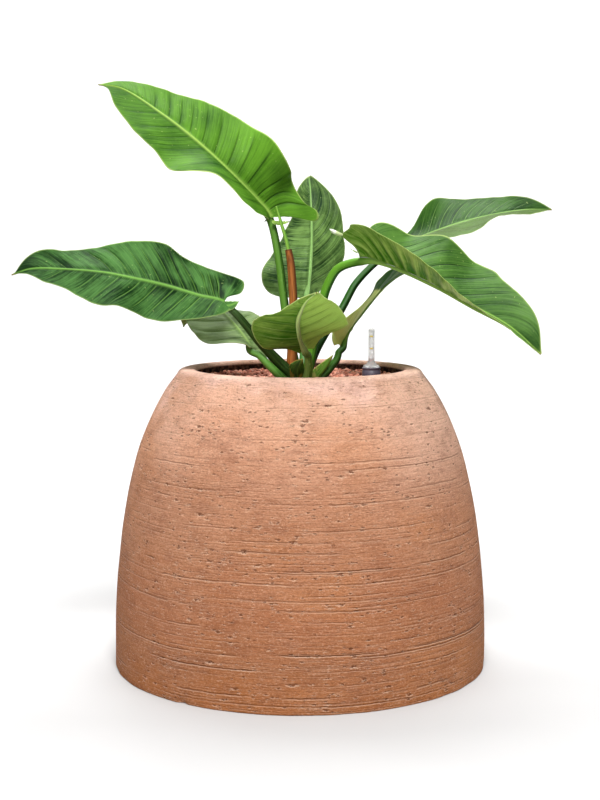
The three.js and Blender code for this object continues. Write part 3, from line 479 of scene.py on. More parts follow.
class Shading:
    """A new material with short calls that add its nodes."""

    def __init__(self, name):
        self.material = bpy.data.materials.new(name)
        self.material.use_nodes = True
        self.tree = self.material.node_tree
        self.shader = self.tree.nodes["Principled BSDF"]

    def add(self, kind, inputs=None, **settings):
        node = self.tree.nodes.new(kind)
        for key, value in settings.items():
            setattr(node, key, value)
        for key, value in (inputs or {}).items():
            self.feed(node.inputs[key], value)
        return node

    def feed(self, socket, value):
        if isinstance(value, bpy.types.NodeSocket):
            self.tree.links.new(value, socket)
        else:
            socket.default_value = value

    def math(self, operation, a, b=0.0, clamp=False):
        node = self.add("ShaderNodeMath", {0: a, 1: b}, operation=operation, use_clamp=clamp)
        return node.outputs[0]

    def times(self, a, b, clamp=False):
        return self.math("MULTIPLY", a, b, clamp)

    def plus(self, a, b, clamp=False):
        return self.math("ADD", a, b, clamp)

    def minus(self, a, b):
        return self.math("SUBTRACT", a, b)

    def weighted(self, values, weights):
        """Sum of the values, each times its weight."""
        total = self.times(values[0], weights[0])
        for value, weight in zip(values[1:], weights[1:]):
            total = self.plus(total, self.times(value, weight))
        return total

    def span(self, value, low, high, to_low=0.0, to_high=1.0, smooth=True):
        inputs = {"Value": value, "From Min": low, "From Max": high, "To Min": to_low, "To Max": to_high}
        kind = "SMOOTHSTEP" if smooth else "LINEAR"
        return self.add("ShaderNodeMapRange", inputs, interpolation_type=kind).outputs["Result"]

    def mix(self, way, first, second):
        node = self.add("ShaderNodeMix", data_type="RGBA")
        self.feed(node.inputs[0], way)
        self.feed(node.inputs[6], first)
        self.feed(node.inputs[7], second)
        return node.outputs[2]

    def tint(self, colour, value, limits, new):
        """Lays a 0 to 255 colour over another one, as far as the value is along the limits."""
        return self.mix(self.span(value, *limits), colour, linear(new))

    def ramp(self, way, stops):
        """Colour by stops of (place, 0 to 255 colour), of which the first is at 0 and the last at 1."""
        node = self.add("ShaderNodeValToRGB", {"Fac": way})
        elements = node.color_ramp.elements
        elements[0].color = linear(stops[0][1])
        elements[1].color = linear(stops[-1][1])
        for place, colour in stops[1:-1]:
            elements.new(place).color = linear(colour)
        return node.outputs["Color"]

    def point(self, scale):
        """The object's own coordinates, scaled along each axis."""
        place = self.add("ShaderNodeTexCoord").outputs["Object"]
        return self.add("ShaderNodeMapping", {"Vector": place, "Scale": scale}).outputs["Vector"]

    def vector(self, x, y, z=0.0):
        return self.add("ShaderNodeCombineXYZ", {"X": x, "Y": y, "Z": z}).outputs["Vector"]

    def axes(self, vector):
        node = self.add("ShaderNodeSeparateXYZ", {"Vector": vector})
        return node.outputs["X"], node.outputs["Y"], node.outputs["Z"]

    def uv(self):
        return self.axes(self.add("ShaderNodeUVMap", uv_map="UVMap").outputs["UV"])[:2]

    def noise(self, vector, scale=1.0, detail=4.0, roughness=0.55):
        inputs = {"Vector": vector, "Scale": scale, "Detail": detail, "Roughness": roughness}
        return self.add("ShaderNodeTexNoise", inputs).outputs["Fac"]

    def layer(self, name):
        return self.add("ShaderNodeAttribute", attribute_name=name, attribute_type="GEOMETRY").outputs["Fac"]

    def bump(self, height, distance):
        inputs = {"Height": height, "Distance": distance, "Strength": 1.0}
        return self.add("ShaderNodeBump", inputs).outputs["Normal"]

    def finish(self, colour, roughness, normal=None, **constants):
        self.feed(self.shader.inputs["Base Color"], colour)
        self.feed(self.shader.inputs["Roughness"], roughness)
        if normal is not None:
            self.feed(self.shader.inputs["Normal"], normal)
        for key, value in constants.items():
            self.shader.inputs[key.replace("_", " ").title().replace("Ior", "IOR")].default_value = value
        return self.material


def blade_material(name, dark, light, rib, gloss, gleam, bump=MM, contrast=1.0):
    """Leaf face: lateral veins with long streaks between them, a pale midrib and a thin pale margin, and
    the painted light and shade that the tone layer and the dark veins carry.
    """
    s = Shading(name)
    lane, across = s.uv()
    sway = s.noise(s.point((60, 60, 60)), 1.0, 2.0)
    lane = s.plus(lane, s.times(s.minus(sway, 0.5), 0.012))

    def streaks(count, length, detail):
        return s.noise(s.vector(s.times(lane, count), s.times(across, length)), 1.0, detail, 0.65)

    def line(repeats, breadth):
        """Thin line at each lateral vein, or at even parts of the way between two of them."""
        order = s.times(s.layer("order"), repeats)
        way = s.math("ABSOLUTE", s.minus(s.math("FRACT", order), 0.5))
        away = s.times(s.minus(0.5, way), s.times(s.layer("gap"), 1 / repeats))
        return s.span(away, 0.15, breadth, 1.0, 0.0)

    main, minor = line(1.0, 1.3), line(3.0, 0.9)
    wide, thin, hair = streaks(34.0, 1.6, 2.0), streaks(120.0, 2.2, 2.0), streaks(300.0, 3.0, 1.0)
    broad = s.noise(s.point((20, 20, 20)), 1.0, 3.0, 0.5)
    mottle = s.noise(s.point((150, 150, 150)), 1.0, 4.0, 0.7)
    shade = s.plus(s.times(s.layer("tone"), 0.6), s.span(broad, 0.3, 0.7, 0.08, 0.42, smooth=False))
    for value, weight in ((wide, 0.34), (thin, 0.62), (hair, 0.5), (mottle, 0.25)):
        shade = s.plus(shade, s.times(s.minus(value, 0.5), weight))
    shade = s.plus(s.times(s.minus(shade, 0.5), contrast), 0.5)
    colour = s.mix(s.span(shade, 0.15, 0.9), linear(dark), linear(light))
    vein = s.layer("vein")
    drawn = s.plus(main, s.times(minor, 0.35))
    colour = s.mix(s.times(drawn, vein, clamp=True), colour, linear(rib))
    # Negative veins paint dark lines: painted shade in the creases
    shaded = s.times(s.times(drawn, vein), -1.0, clamp=True)
    colour = s.mix(shaded, colour, linear(tuple(0.5 * c for c in dark)))
    colour = s.mix(s.times(s.layer("rib"), 0.95, clamp=True), colour, linear(rib))
    pale = tuple(0.5 * (a + b) for a, b in zip(rib, (206, 206, 140)))
    colour = s.mix(s.times(s.layer("edge"), 0.7, clamp=True), colour, linear(pale))
    colour = s.mix(s.layer("dry"), colour, linear((132, 96, 44)))
    flecks = s.noise(s.point((260, 260, 260)), 1.0, 1.0)
    colour = s.tint(colour, flecks, (0.72, 0.78, 0.0, 0.35), pale)
    groove = s.times(drawn, s.times(s.layer("groove"), VEIN_CREASE))
    height = s.minus(s.weighted((wide, thin, mottle), (0.5, 0.3, 0.25)), groove)
    rough = s.span(mottle, 0.3, 0.7, gloss, gloss + 0.14)
    return s.finish(colour, rough, s.bump(height, bump), specular_ior_level=gleam, ior=1.47)


def stalk_material(name, lit, shaded, rough=0.4, rib=None):
    """Fleshy stalk, painted lit on one side and in shade on the other, with long faint streaks and small
    pale flecks; paler as a midrib.
    """
    s = Shading(name)
    streak = s.noise(s.vector(s.times(s.layer("along"), 9.0), s.times(s.layer("around"), 26.0)), 1.0, 3.0)
    flecks = s.noise(s.point((420, 420, 150)), 1.0, 2.0)
    side = s.plus(s.layer("side"), s.times(s.minus(streak, 0.5), 0.9))
    base = s.mix(s.span(side, 0.25, 0.75), linear(shaded), linear(lit))
    pale = tuple(min(255, 1.15 * c + 26) for c in lit)
    base = s.tint(base, flecks, (0.6, 0.74, 0.0, 0.3), pale)
    if rib is not None:
        # The midrib is painted darker on its shaded side as well
        under = s.mix(s.span(side, 0.1, 0.7), linear(tuple(0.72 * c for c in rib)), linear(rib))
        base = s.mix(s.layer("rib"), base, under)
    return s.finish(base, rough, s.bump(streak, 0.0004), specular_ior_level=0.18)


# Leaves


def midrib_table(spec, count=200):
    """Points, directions and lengths along a blade's midrib."""
    control = list(spec.get("stalk", [])) + list(spec["midrib"])
    start = len(spec.get("stalk", [])) / (len(control) - 1)
    points = curve_points(control, np.linspace(start, 1, count))
    steps = np.linalg.norm(np.diff(points, axis=0), axis=1)
    length = np.concatenate([[0], np.cumsum(steps)])
    along = np.gradient(points, length, axis=0)
    along /= np.linalg.norm(along, axis=1)[:, None]
    facing = np.asarray(spec["facing"], float)
    normal = facing - (along @ facing)[:, None] * along
    normal /= np.linalg.norm(normal, axis=1)[:, None]
    side = np.cross(along, normal)
    return dict(points=points, length=length, along=along, normal=normal, side=side, control=control,
                start=start)


def at_length(table, key, length):
    values = table[key]
    return np.stack([np.interp(length, table["length"], values[:, k]) for k in range(3)], -1)


def half_width(u):
    inward = np.clip((WIDEST_AT - u) / (WIDEST_AT + BASE_ROUNDING), 0, 1)
    near = np.sqrt(1 - inward**BASE_POWER)
    outward = np.clip((u - WIDEST_AT) / (1 - WIDEST_AT), 0, 1)
    far = np.maximum((1 - outward**TIP_POWER) ** TIP_FULLNESS, TIP_WIDTH)
    return np.where(u < WIDEST_AT, near, far)


def margin_reach(spec, half, u):
    """Half width in millimetres, out to the margin."""
    return spec["width"] / 2 * half_width(u) * smooth_through(half.get("trim", (1, 1)), u**MARGIN_POWER)


def blade_surface(spec, table, half, hand, u, v):
    """Points and normals of one half of the upper face; hand is 1 on the right half, -1 on the left."""
    whole = table["length"][-1]
    near_base = np.sqrt(np.clip(u / LOBE_DETAIL_END, 0, 1))
    out = margin_reach(spec, half, u) * v + smooth_through(half.get("lobe_out", (0, 0)), near_base) * v**2
    back = half["lobe"] * (0.55 + 9 * u) * np.exp(-((u / LOBE_REACH) ** 2)) * v**1.7
    shift = smooth_through(half.get("shift", (0, 0)), u**MARGIN_POWER) * v**1.7
    shift = shift + smooth_through(half.get("lobe_shift", (0, 0)), near_base) * v**1.7
    length = whole * (u + VEIN_LEAN * np.sin(np.pi * u) * v**1.3) - back + shift
    inside = np.clip(length, 0, whole)
    middle = at_length(table, "points", inside) + np.minimum(length, 0)[..., None] * table["along"][0]
    normal = at_length(table, "normal", inside)
    side = at_length(table, "side", inside)
    start = np.radians(smooth_through(half["rise"], inside / whole))
    curl = math.radians(EDGE_CURL) / (spec["width"] / 2)
    end = start + curl * out
    sideways = (np.sin(end) - np.sin(start)) / curl
    upward = (np.cos(start) - np.cos(end)) / curl
    points = middle + hand * side * sideways[..., None] + normal * upward[..., None]
    normals = normal * np.cos(end)[..., None] - hand * side * np.sin(end)[..., None]
    return points, normals


def lane_of(half, u, v):
    """Where on the midrib the lateral vein through a point starts: the veins lean towards the tip."""
    return u - half.get("lean", 0) * v**1.1


def vein_pattern(half, u, v, whole):
    """How many lateral veins lie before a point, the gap between its two veins in millimetres, and how
    far up the fold between them it is, from 0 to 1."""
    lane = lane_of(half, u, v)
    veins = half.get("veins", ())
    if not veins:
        return np.full(u.shape, 0.5), np.full(u.shape, 20.0), np.full(u.shape, 0.5)
    ends = np.array([veins[0] - 0.06, *veins, veins[-1] + 0.08])
    count = len(veins)
    order = np.interp(lane, ends, [0.5, *range(1, count + 1), count + 0.5])
    gaps = np.concatenate([[0.12], np.diff(veins), [0.16]]) * whole
    gap = np.interp(order, np.arange(count + 1) + 0.5, gaps)
    way = order % 1
    crest = 1 - np.abs(2 * way**0.85 - 1) ** 2.2
    return order, gap, crest


def blade_relief(half, u, v, crest):
    """Height in millimetres of the folds between lateral veins and of the small waves of the margin."""
    fade = smoothstep(0.04, 0.24, v) * (1 - 0.85 * smoothstep(0.72, 1.0, v))
    fade = fade * smoothstep(-0.01, 0.03, u) * (1 - smoothstep(0.78, 0.98, u)) * (1.15 - 0.6 * u)
    fold = half.get("fold", 0)
    height = fold * fade * (crest - 0.55)
    height = height + 0.5 * np.exp(-((v / 0.035) ** 2)) - 0.45 * np.exp(-(((v - 0.09) / 0.045) ** 2))
    ripple = np.sin(2 * np.pi * (5.3 * u + half["rise"][0] / 17)) + 0.6 * np.sin(2 * np.pi * 11.7 * u)
    ripple = ripple * smoothstep(0.7, 1.0, v) * smoothstep(0.02, 0.15, u) * (1 - smoothstep(0.8, 0.97, u))
    return height + 0.45 * ripple


def painted_crumple_shading(u, v):
    """Painted light and shade of a crumpled blade near its foot, from -1 to 1; the mesh is not crumpled
    there.
    """
    waves = np.sin(34 * u + 5 * v + 1.0) * np.sin(9 * v - 17 * u) + 0.6 * np.sin(51 * u - 13 * v)
    return waves / 1.6 * (1 - smoothstep(0.12, 0.3, u)) * smoothstep(0.1, 0.4, v)


def folded_hem(half, u, inward):
    """Pale strip along a stretch of the margin, painted as if it had turned over, and the painted shadow line
    along it.
    """
    start, end, breadth = half.get("hem", (2, 3, 1))
    breadth = breadth * smoothstep(start, start + 0.05, u) * (1 - smoothstep(end - 0.12, end, u))
    hem = smoothstep(-0.6, 0.6, breadth - inward) * (breadth > 0.3)
    return 0.9 * hem, np.exp(-(((inward - breadth - 1.0) / 1.2) ** 2)) * (breadth > 0.3)


def blade_mesh(spec, table, thickness, rows=BLADE_ROWS, columns=BLADE_COLUMNS):
    """Closed thin blade: points, faces, material index, UV and layers."""
    whole = table["length"][-1]
    uu, vv = np.meshgrid(np.linspace(0, 1, rows) ** 1.12, np.linspace(0, 1, columns) ** 1.1, indexing="ij")
    sides = {}
    for hand, key in ((-1, "left"), (1, "right")):
        half = spec[key]
        points, normals = blade_surface(spec, table, half, hand, uu, vv)
        order, gap, crest = vein_pattern(half, uu, vv, whole)
        points = points + normals * blade_relief(half, uu, vv, crest)[..., None]
        fade = smoothstep(0.03, 0.1, vv) * (1 - smoothstep(0.6, 0.97, vv)) * (1 - smoothstep(0.8, 0.95, uu))
        reach = margin_reach(spec, half, uu)
        hem, shadow = folded_hem(half, uu, reach * (1 - vv))
        low, high, slant = half.get("far", (0.36, 0.5, 0))
        sides[hand] = dict(
            points=points, normals=normals, u=uu, v=vv, signed=hand * vv, lane=lane_of(half, uu, vv),
            order=order, gap=gap,
            vein=half.get("line", 0) * fade * (1.25 - 0.8 * uu),
            groove=half.get("groove", 0.5) * fade * (1.25 - 0.8 * uu),
            # Tone: painted light and shade across each fold, lighter on the crests and darker in the valleys,
            # with the hem's painted shadow line, a painted crumpled look near the foot and painted shade on
            # the far part of some halves
            tone=0.4 + half.get("painted_fold_shading", 0.3) * (crest - 0.5) * fade + 0.22 * (vv - 0.3)
                 + half.get("tone", 0) + half.get("tone_far", 0) * smoothstep(low, high, uu + slant * vv)
                 - 0.8 * shadow + half.get("painted_crumple_shading", 0) * painted_crumple_shading(uu, vv),
            rib=np.exp(-((reach * vv / (2.6 - 1.7 * uu)) ** 2)),
            # The edge layer also carries a painted sheen, laid evenly over some halves
            edge=np.maximum(np.exp(-((reach * (1 - vv) / 0.8) ** 2)) * smoothstep(0.02, 0.1, vv), hem)
                 + half.get("painted_sheen", 0),
        )
    ridge = sides[-1]["normals"][:, 0] + sides[1]["normals"][:, 0]
    middle = columns - 1

    def joined(key):
        return np.concatenate([sides[-1][key][:, ::-1], sides[1][key][:, 1:]], axis=1)

    upper, normals = joined("points"), joined("normals")
    normals[:, middle] = ridge / np.linalg.norm(ridge, axis=-1, keepdims=True)
    taper = thickness * (1 - 0.55 * smoothstep(0.9, 1.0, joined("v")))
    lower = upper - normals * taper[..., None]
    width = 2 * columns - 1
    count = rows * width
    faces = grid_faces(rows, width) + grid_faces(rows, width, start=count, flip=True)
    border = list(range(width)) + [i * width + width - 1 for i in range(1, rows)]
    border += [(rows - 1) * width + k for k in range(width - 2, -1, -1)]
    border += [i * width for i in range(rows - 2, 0, -1)]
    faces += [(a, a + count, b + count, b) for a, b in zip(border, border[1:] + border[:1])]
    quads = (rows - 1) * (width - 1)
    indices = [0] * quads + [1] * quads + [1] * len(border)
    points = np.concatenate([upper.reshape(-1, 3), lower.reshape(-1, 3)])
    uv = np.stack([joined("lane"), 0.5 + 0.5 * joined("signed")], -1).reshape(-1, 2)
    values = {key: np.tile(joined(key).ravel(), 2)
              for key in ("order", "gap", "vein", "groove", "tone", "rib", "edge")}
    values["dry"] = np.tile(smoothstep(0.985, 1.0, joined("u")).ravel() * 0.8, 2)
    return points, faces, indices, np.tile(uv, (2, 1)), values


def stalk_path(spec, table, stalk_points=60, midrib_points=90):
    """Centres and radii of the stalk and, sunk under the blade, of the midrib that goes on from it."""
    start = table["start"]
    ways = np.arange(stalk_points) / stalk_points
    foot, top = spec.get("stalk_ends", (1.2, 0.85))
    radii = spec["stalk_radius"] * (top + (foot - top) * (1 - ways) ** 1.2)
    sink = (radii * MIDRIB_SINK + 0.6) * smoothstep(0.8, 1, ways)
    centres = curve_points(table["control"], ways * start) - sink[:, None] * table["normal"][0]
    along = np.linspace(0, MIDRIB_END, midrib_points)
    length = along * table["length"][-1]
    full = spec.get("rib_share", 0.85) * spec["stalk_radius"]
    rib = MIDRIB_TIP_RADIUS + (full - MIDRIB_TIP_RADIUS) * (1 - along / MIDRIB_END) ** 0.9
    rib = np.minimum(rib, full * (1 - 0.45 * smoothstep(0, 0.15, along)))
    rib = rib + (radii[-1] - rib[0]) * np.exp(-((along / 0.05) ** 2))
    normal = at_length(table, "normal", length)
    middle = at_length(table, "points", length) - normal * (rib * MIDRIB_SINK + 0.6)[:, None]
    return np.vstack([centres, middle]), np.concatenate([radii, rib])


def fluted(way, turns):
    return 1 + 0.035 * np.cos(3 * turns + 2.0) + 0.02 * np.cos(7 * turns + 5 * way)


def small_rod(points, radii, count=24, sides=10):
    """A short tapering piece through points, with its widest part where the radii say."""
    ways = np.linspace(0, 1, count)
    return capped_rod(curve_points(points, ways), smooth_through(radii, ways), sides)


def lit_share(away):
    """How far each of these ways out from a rod's middle turns to the lit side, from 0 to 1."""
    return 0.5 + 0.5 * (away @ LIT_SIDE) / np.maximum(np.linalg.norm(away, axis=1), 1e-6)


def make_leaf(name, spec):
    look = LEAF_LOOKS[name]
    table = midrib_table(spec)
    points, faces, indices, uv, values = blade_mesh(spec, table, BLADE_THICKNESS)
    for flap in EXTRA_FLAPS.get(name, ()):
        whole = dict(flap, left=FLAP_HALF, right=FLAP_HALF)
        more = blade_mesh(whole, midrib_table(whole), BLADE_THICKNESS, rows=30, columns=8)
        faces += [tuple(len(points) + k for k in face) for face in more[1]]
        points = np.vstack([points, more[0]])
        indices += more[2]
        uv = np.vstack([uv, more[3]])
        values = {key: np.concatenate([value, more[4][key]]) for key, value in values.items()}
    blank = np.zeros(len(points))
    values.update(along=blank, around=blank, side=blank)
    centres, radii = stalk_path(spec, table)
    rods = [(*capped_rod(centres, radii, ROD_SIDES, fluted), 2)]
    rods += [(*small_rod(path, widths), 3) for path, widths in EXTRA_TIPS.get(name, ())]
    for rod, rod_faces, along, around, index in rods:
        start = len(points)
        faces += [tuple(start + k for k in face) for face in rod_faces]
        indices += [index] * len(rod_faces)
        points = np.vstack([points, rod])
        uv = np.vstack([uv, np.stack([along, around], -1)])
        middle = np.repeat([rod.mean(0)], len(rod), 0)
        if index == 2:
            ring = np.minimum(np.arange(len(rod)) // ROD_SIDES, len(centres) - 1)
            middle = centres[ring]
        # The side layer paints each rod lit on one side and in shade on the other
        extra = dict(along=along, around=around, side=lit_share(rod - middle))
        if index == 2:
            extra["rib"] = smoothstep(0.39, 0.45, along)
        for key in values:
            values[key] = np.concatenate([values[key], extra.get(key, np.zeros(len(rod)))])
    materials = [
        blade_material(name + "_upper", look["dark"], look["light"], look["rib"], look["gloss"],
                       look.get("gleam", 0.08), contrast=look.get("contrast", 1.0)),
        blade_material(name + "_under", look["deep"], look["under"], look["rib"], 0.48, 0.03, 0.0002),
        stalk_material(name + "_stalk", look["stalk"], look["shade"], rib=look["rib"]),
        stalk_material(name + "_tip", (236, 240, 222), (190, 206, 150), 0.5),
    ]
    piece = make_piece(name + "_fine", points, faces, materials, indices, uv, values, cad_bounds)
    settle(piece, look["slot"], name)


def make_leaves():
    for name, spec in LEAVES.items():
        make_leaf(name, spec)


# Sheaths and new leaf


def sheath_material(name, body, edge, streak, shaded=None):
    """Drying sheath: long fibres, a brown-yellow edge and darker patches and, when a shaded colour is
    given, one side painted in shade.
    """
    s = Shading(name)
    along, across = s.uv()
    lines = s.noise(s.vector(s.times(along, 3.0), s.times(across, 40.0)), 1.0, 4.0)
    patches = s.noise(s.point((120, 120, 60)), 1.0, 3.0)
    colour = s.mix(s.span(lines, 0.35, 0.68), linear(body), linear(streak))
    colour = s.tint(colour, patches, (0.52, 0.7, 0.0, 0.7), edge)
    colour = s.tint(colour, s.layer("edge"), (0.2, 1.0, 0.0, 0.9), edge)
    if shaded is not None:
        # Painted shade on the side that the shade layer marks
        dark = s.times(s.layer("shade"), s.span(lines, 0.3, 0.6, 1.0, 0.6))
        colour = s.mix(dark, colour, linear(shaded))
    return s.finish(colour, 0.5, s.bump(lines, 0.0006), specular_ior_level=0.3)


def make_sheaths():
    colours = {
        "sheath_front": ((30, 54, 10), (190, 150, 66), (88, 120, 40)),
        "sheath_right": ((60, 108, 22), (178, 168, 92), (116, 160, 54)),
    }
    for name, spec in SHEATHS.items():
        half = dict(lobe=0, rise=spec["rise"])
        full = dict(spec, left=half, right=half)
        table = midrib_table(full)
        points, faces, indices, uv, values = blade_mesh(full, table, 1.2, rows=60, columns=14)
        body, edge, streak = colours[name]
        material = sheath_material(name, body, edge, streak)
        piece = make_piece(name + "_fine", points, faces, [material], None, uv, values, cad_bounds)
        settle(piece, "sheath_green", name)


def make_new_leaf():
    ways = np.linspace(0, 1, 90)
    path = curve_points(BROWN_SHEATH, ways)
    radii = BROWN_SHEATH_RADII[0] + (BROWN_SHEATH_RADII[1] - BROWN_SHEATH_RADII[0]) * ways

    def folded(way, turns):
        """The sheath's overlapping edge is a step down its side."""
        seam = (turns - 3.6 + 0.4 * way) % (2 * np.pi)
        return 1 + 0.12 * np.exp(-seam / 0.5) + 0.02 * np.cos(9 * turns)

    points, faces, along, around = capped_rod(path, radii, 32, folded)
    material = sheath_material("sheath_brown", (176, 106, 44), (88, 40, 20), (118, 58, 26), (54, 24, 8))
    edge = smoothstep(0.955, 1.0, along)
    away = points - np.append(np.repeat(path, 32, 0), [path[0], path[-1]], 0)
    uv = np.stack([along * 3, around], -1)
    # The shade layer paints the sheath's side facing +x in shade
    layers = dict(edge=edge, shade=smoothstep(0.1, 0.75, away[:, 0] / np.linalg.norm(away, axis=1)))
    sheath = make_piece("sheath_brown_fine", points, faces, [material], None, uv, layers)
    settle(sheath, "sheath_brown", "sheath_brown")

    path = curve_points(NEW_LEAF, ways)
    radii = NEW_LEAF_RADII[0] + (NEW_LEAF_RADII[1] - NEW_LEAF_RADII[0]) * ways**1.3

    def rolled(way, turns):
        """The rolled blade shows its free edge as a step that winds up it."""
        seam = (turns - 4.2 - 2.4 * way) % (2 * np.pi)
        return 1 + 0.16 * np.exp(-seam / 0.8)

    points, faces, along, around = capped_rod(path, radii, 28, rolled)
    green = stalk_material("new_leaf", (134, 178, 72), (74, 128, 40))
    away = points - np.append(np.repeat(path, 28, 0), [path[0], path[-1]], 0)
    # The side layer paints the rolled new leaf lit on one side and in shade on the other
    layers = dict(along=along, around=around, side=lit_share(away))
    leaf = make_piece("new_leaf_fine", points, faces, [green], None, None, layers)
    settle(leaf, "leaf", "new_leaf")


# Planter


def dome_radius(z):
    return smooth_through(DOME_RADII, np.asarray(z) / POT_HEIGHT)


def arc(centre_r, centre_z, radius, start, end, steps):
    turns = np.radians(np.linspace(start, end, steps))
    return [(centre_r + radius * math.cos(t), centre_z + radius * math.sin(t)) for t in turns]


def pot_profile():
    """Outline of the planter from the foot's centre up the outside, over the lip and down the inside."""
    foot = [(0, 0), (60, 0), (130, 0), (190, 0), (FOOT_RADIUS - 3, 0)]
    round_foot = arc(FOOT_RADIUS - 1.8, 1.8, 1.7, -80, -5, 6)
    outside = [(float(dome_radius(z)), z) for z in np.arange(3.2, 350, POT_ROW_STEP)]
    lip_out = arc(RIM_OUTER_RADIUS - 7, POT_HEIGHT - 9, 9, 18, 84, 12)
    lip_in = arc(RIM_INNER_RADIUS + 5, POT_HEIGHT - 5, 5, 90, 180, 9)
    lip_foot = POT_HEIGHT - 3 * LIP_HEIGHT
    wall = [(float(dome_radius(z)) - WALL, z) for z in (30, 110, 190, 250, lip_foot)]
    inside = [(RIM_INNER_RADIUS + 1, 356), (RIM_INNER_RADIUS + 2, 351), (RIM_INNER_RADIUS + 9, 340)]
    inside += wall[::-1] + [(FOOT_RADIUS - WALL - 14, FLOOR), (0, FLOOR)]
    return foot + round_foot + outside + lip_out + lip_in + inside


def make_planter():
    profile = np.array(pot_profile())
    rows = len(profile)
    turn, z = np.meshgrid(np.linspace(0, 2 * np.pi, POT_COLUMNS, endpoint=False), profile[:, 1])
    reach = np.repeat(profile[:, :1], POT_COLUMNS, 1)
    outer = np.zeros(rows)
    outer[9:rows - 36] = 1
    outer = np.convolve(outer, np.ones(7) / 7, mode="same")[:, None]
    sway = 0.3 * np.sin(3 * turn + z / 50) + 0.25 * np.sin(7 * turn + z / 23)
    sway += 0.2 * np.sin(16 * turn - z / 9)
    foot = (reach > FOOT_RADIUS - 8) * np.exp(-((z - 1) / 5) ** 2)
    uneven = 0.5 + 0.5 * np.sin(23 * turn + 1.5 * np.sin(9 * turn))
    away = (turn - math.radians(CHIP_BEARING) + np.pi) % (2 * np.pi) - np.pi
    chip = foot * (5 * np.exp(-((away / 0.02) ** 2)) + 0.8 * uneven)
    reach = np.maximum(reach - chip - (0.75 - sway) * outer * 0.35, 0)
    points = np.stack([reach * np.cos(turn), reach * np.sin(turn), z], -1).reshape(-1, 3)
    keep = np.arange(len(points))
    keep[:POT_COLUMNS] = 0
    keep[-POT_COLUMNS:] = (rows - 1) * POT_COLUMNS
    used, lookup = np.unique(keep, return_inverse=True)
    quads = grid_faces(rows, POT_COLUMNS, closed=True)
    faces = [tuple(dict.fromkeys(lookup[list(quad)].tolist())) for quad in quads]
    pot = make_piece("planter_fine", points[used], faces, [terracotta()])
    settle(pot, "terracotta", "planter_pot")


def level_lines(s, x, y, level, pitch, breadth, share, seed):
    """Thin level lines at uneven heights, each broken into arcs: the cut itself and the painted highlight
    under it.
    """
    way = s.plus(s.times(level, 1 / (pitch * MM)), seed)
    cells = s.add("ShaderNodeTexVoronoi", {"W": way, "Scale": 1.0}, voronoi_dimensions="1D")
    chance = s.add("ShaderNodeSeparateColor", {"Color": cells.outputs["Color"]})
    spot = s.vector(s.times(x, 7.0), s.times(y, 7.0), s.times(chance.outputs["Red"], 60.0))
    start = 0.5 + 0.3 * (0.5 - share)
    here = s.span(s.noise(spot, 1.0, 5.0, 0.62), start, start + 0.07)
    depth = s.times(here, s.span(chance.outputs["Green"], 0.0, 1.0, 0.3, 1.0, smooth=False))
    wide = breadth / pitch
    cut = s.span(cells.outputs["Distance"], 0.15 * wide, wide, 1.0, 0.0)
    below = s.minus(cells.outputs["W"], way)
    rim_highlight = s.times(s.span(below, 0.35 * wide, wide), s.span(below, 1.3 * wide, 2.2 * wide, 1.0, 0.0))
    return s.times(cut, depth), s.times(rim_highlight, depth)


def pit_field(s, scale, cluster_scale, sizes, rarity):
    """Small hollows scattered in clusters, and the painted highlight under each."""
    inputs = {"Vector": s.point(tuple(4 * k for k in scale)), "Scale": 1.0, "Detail": 2.0}
    shaken = s.add("ShaderNodeTexNoise", inputs).outputs["Color"]
    bent = s.add("ShaderNodeVectorMath", {0: s.point(scale), 1: shaken}, operation="ADD").outputs["Vector"]
    cells = s.add("ShaderNodeTexVoronoi", {"Vector": bent, "Scale": 1.0})
    chance = s.add("ShaderNodeSeparateColor", {"Color": cells.outputs["Color"]})
    limit = s.span(s.noise(s.point(cluster_scale), 1.0, 3.0), 0.44, 0.68, *rarity)
    present = s.math("GREATER_THAN", chance.outputs["Red"], limit)
    size = s.span(chance.outputs["Green"], 0.0, 1.0, *sizes, smooth=False)
    ring = s.math("DIVIDE", cells.outputs["Distance"], size)
    lower = s.span(s.minus(s.axes(cells.outputs["Position"])[2], s.axes(bent)[2]), 0.0, 0.2)
    rim_highlight = s.times(s.span(ring, 0.75, 1.0), s.span(ring, 1.2, 1.8, 1.0, 0.0))
    rim_highlight = s.times(rim_highlight, s.times(lower, present))
    return s.times(s.span(ring, 0.7, 1.0, 1.0, 0.0), present), rim_highlight


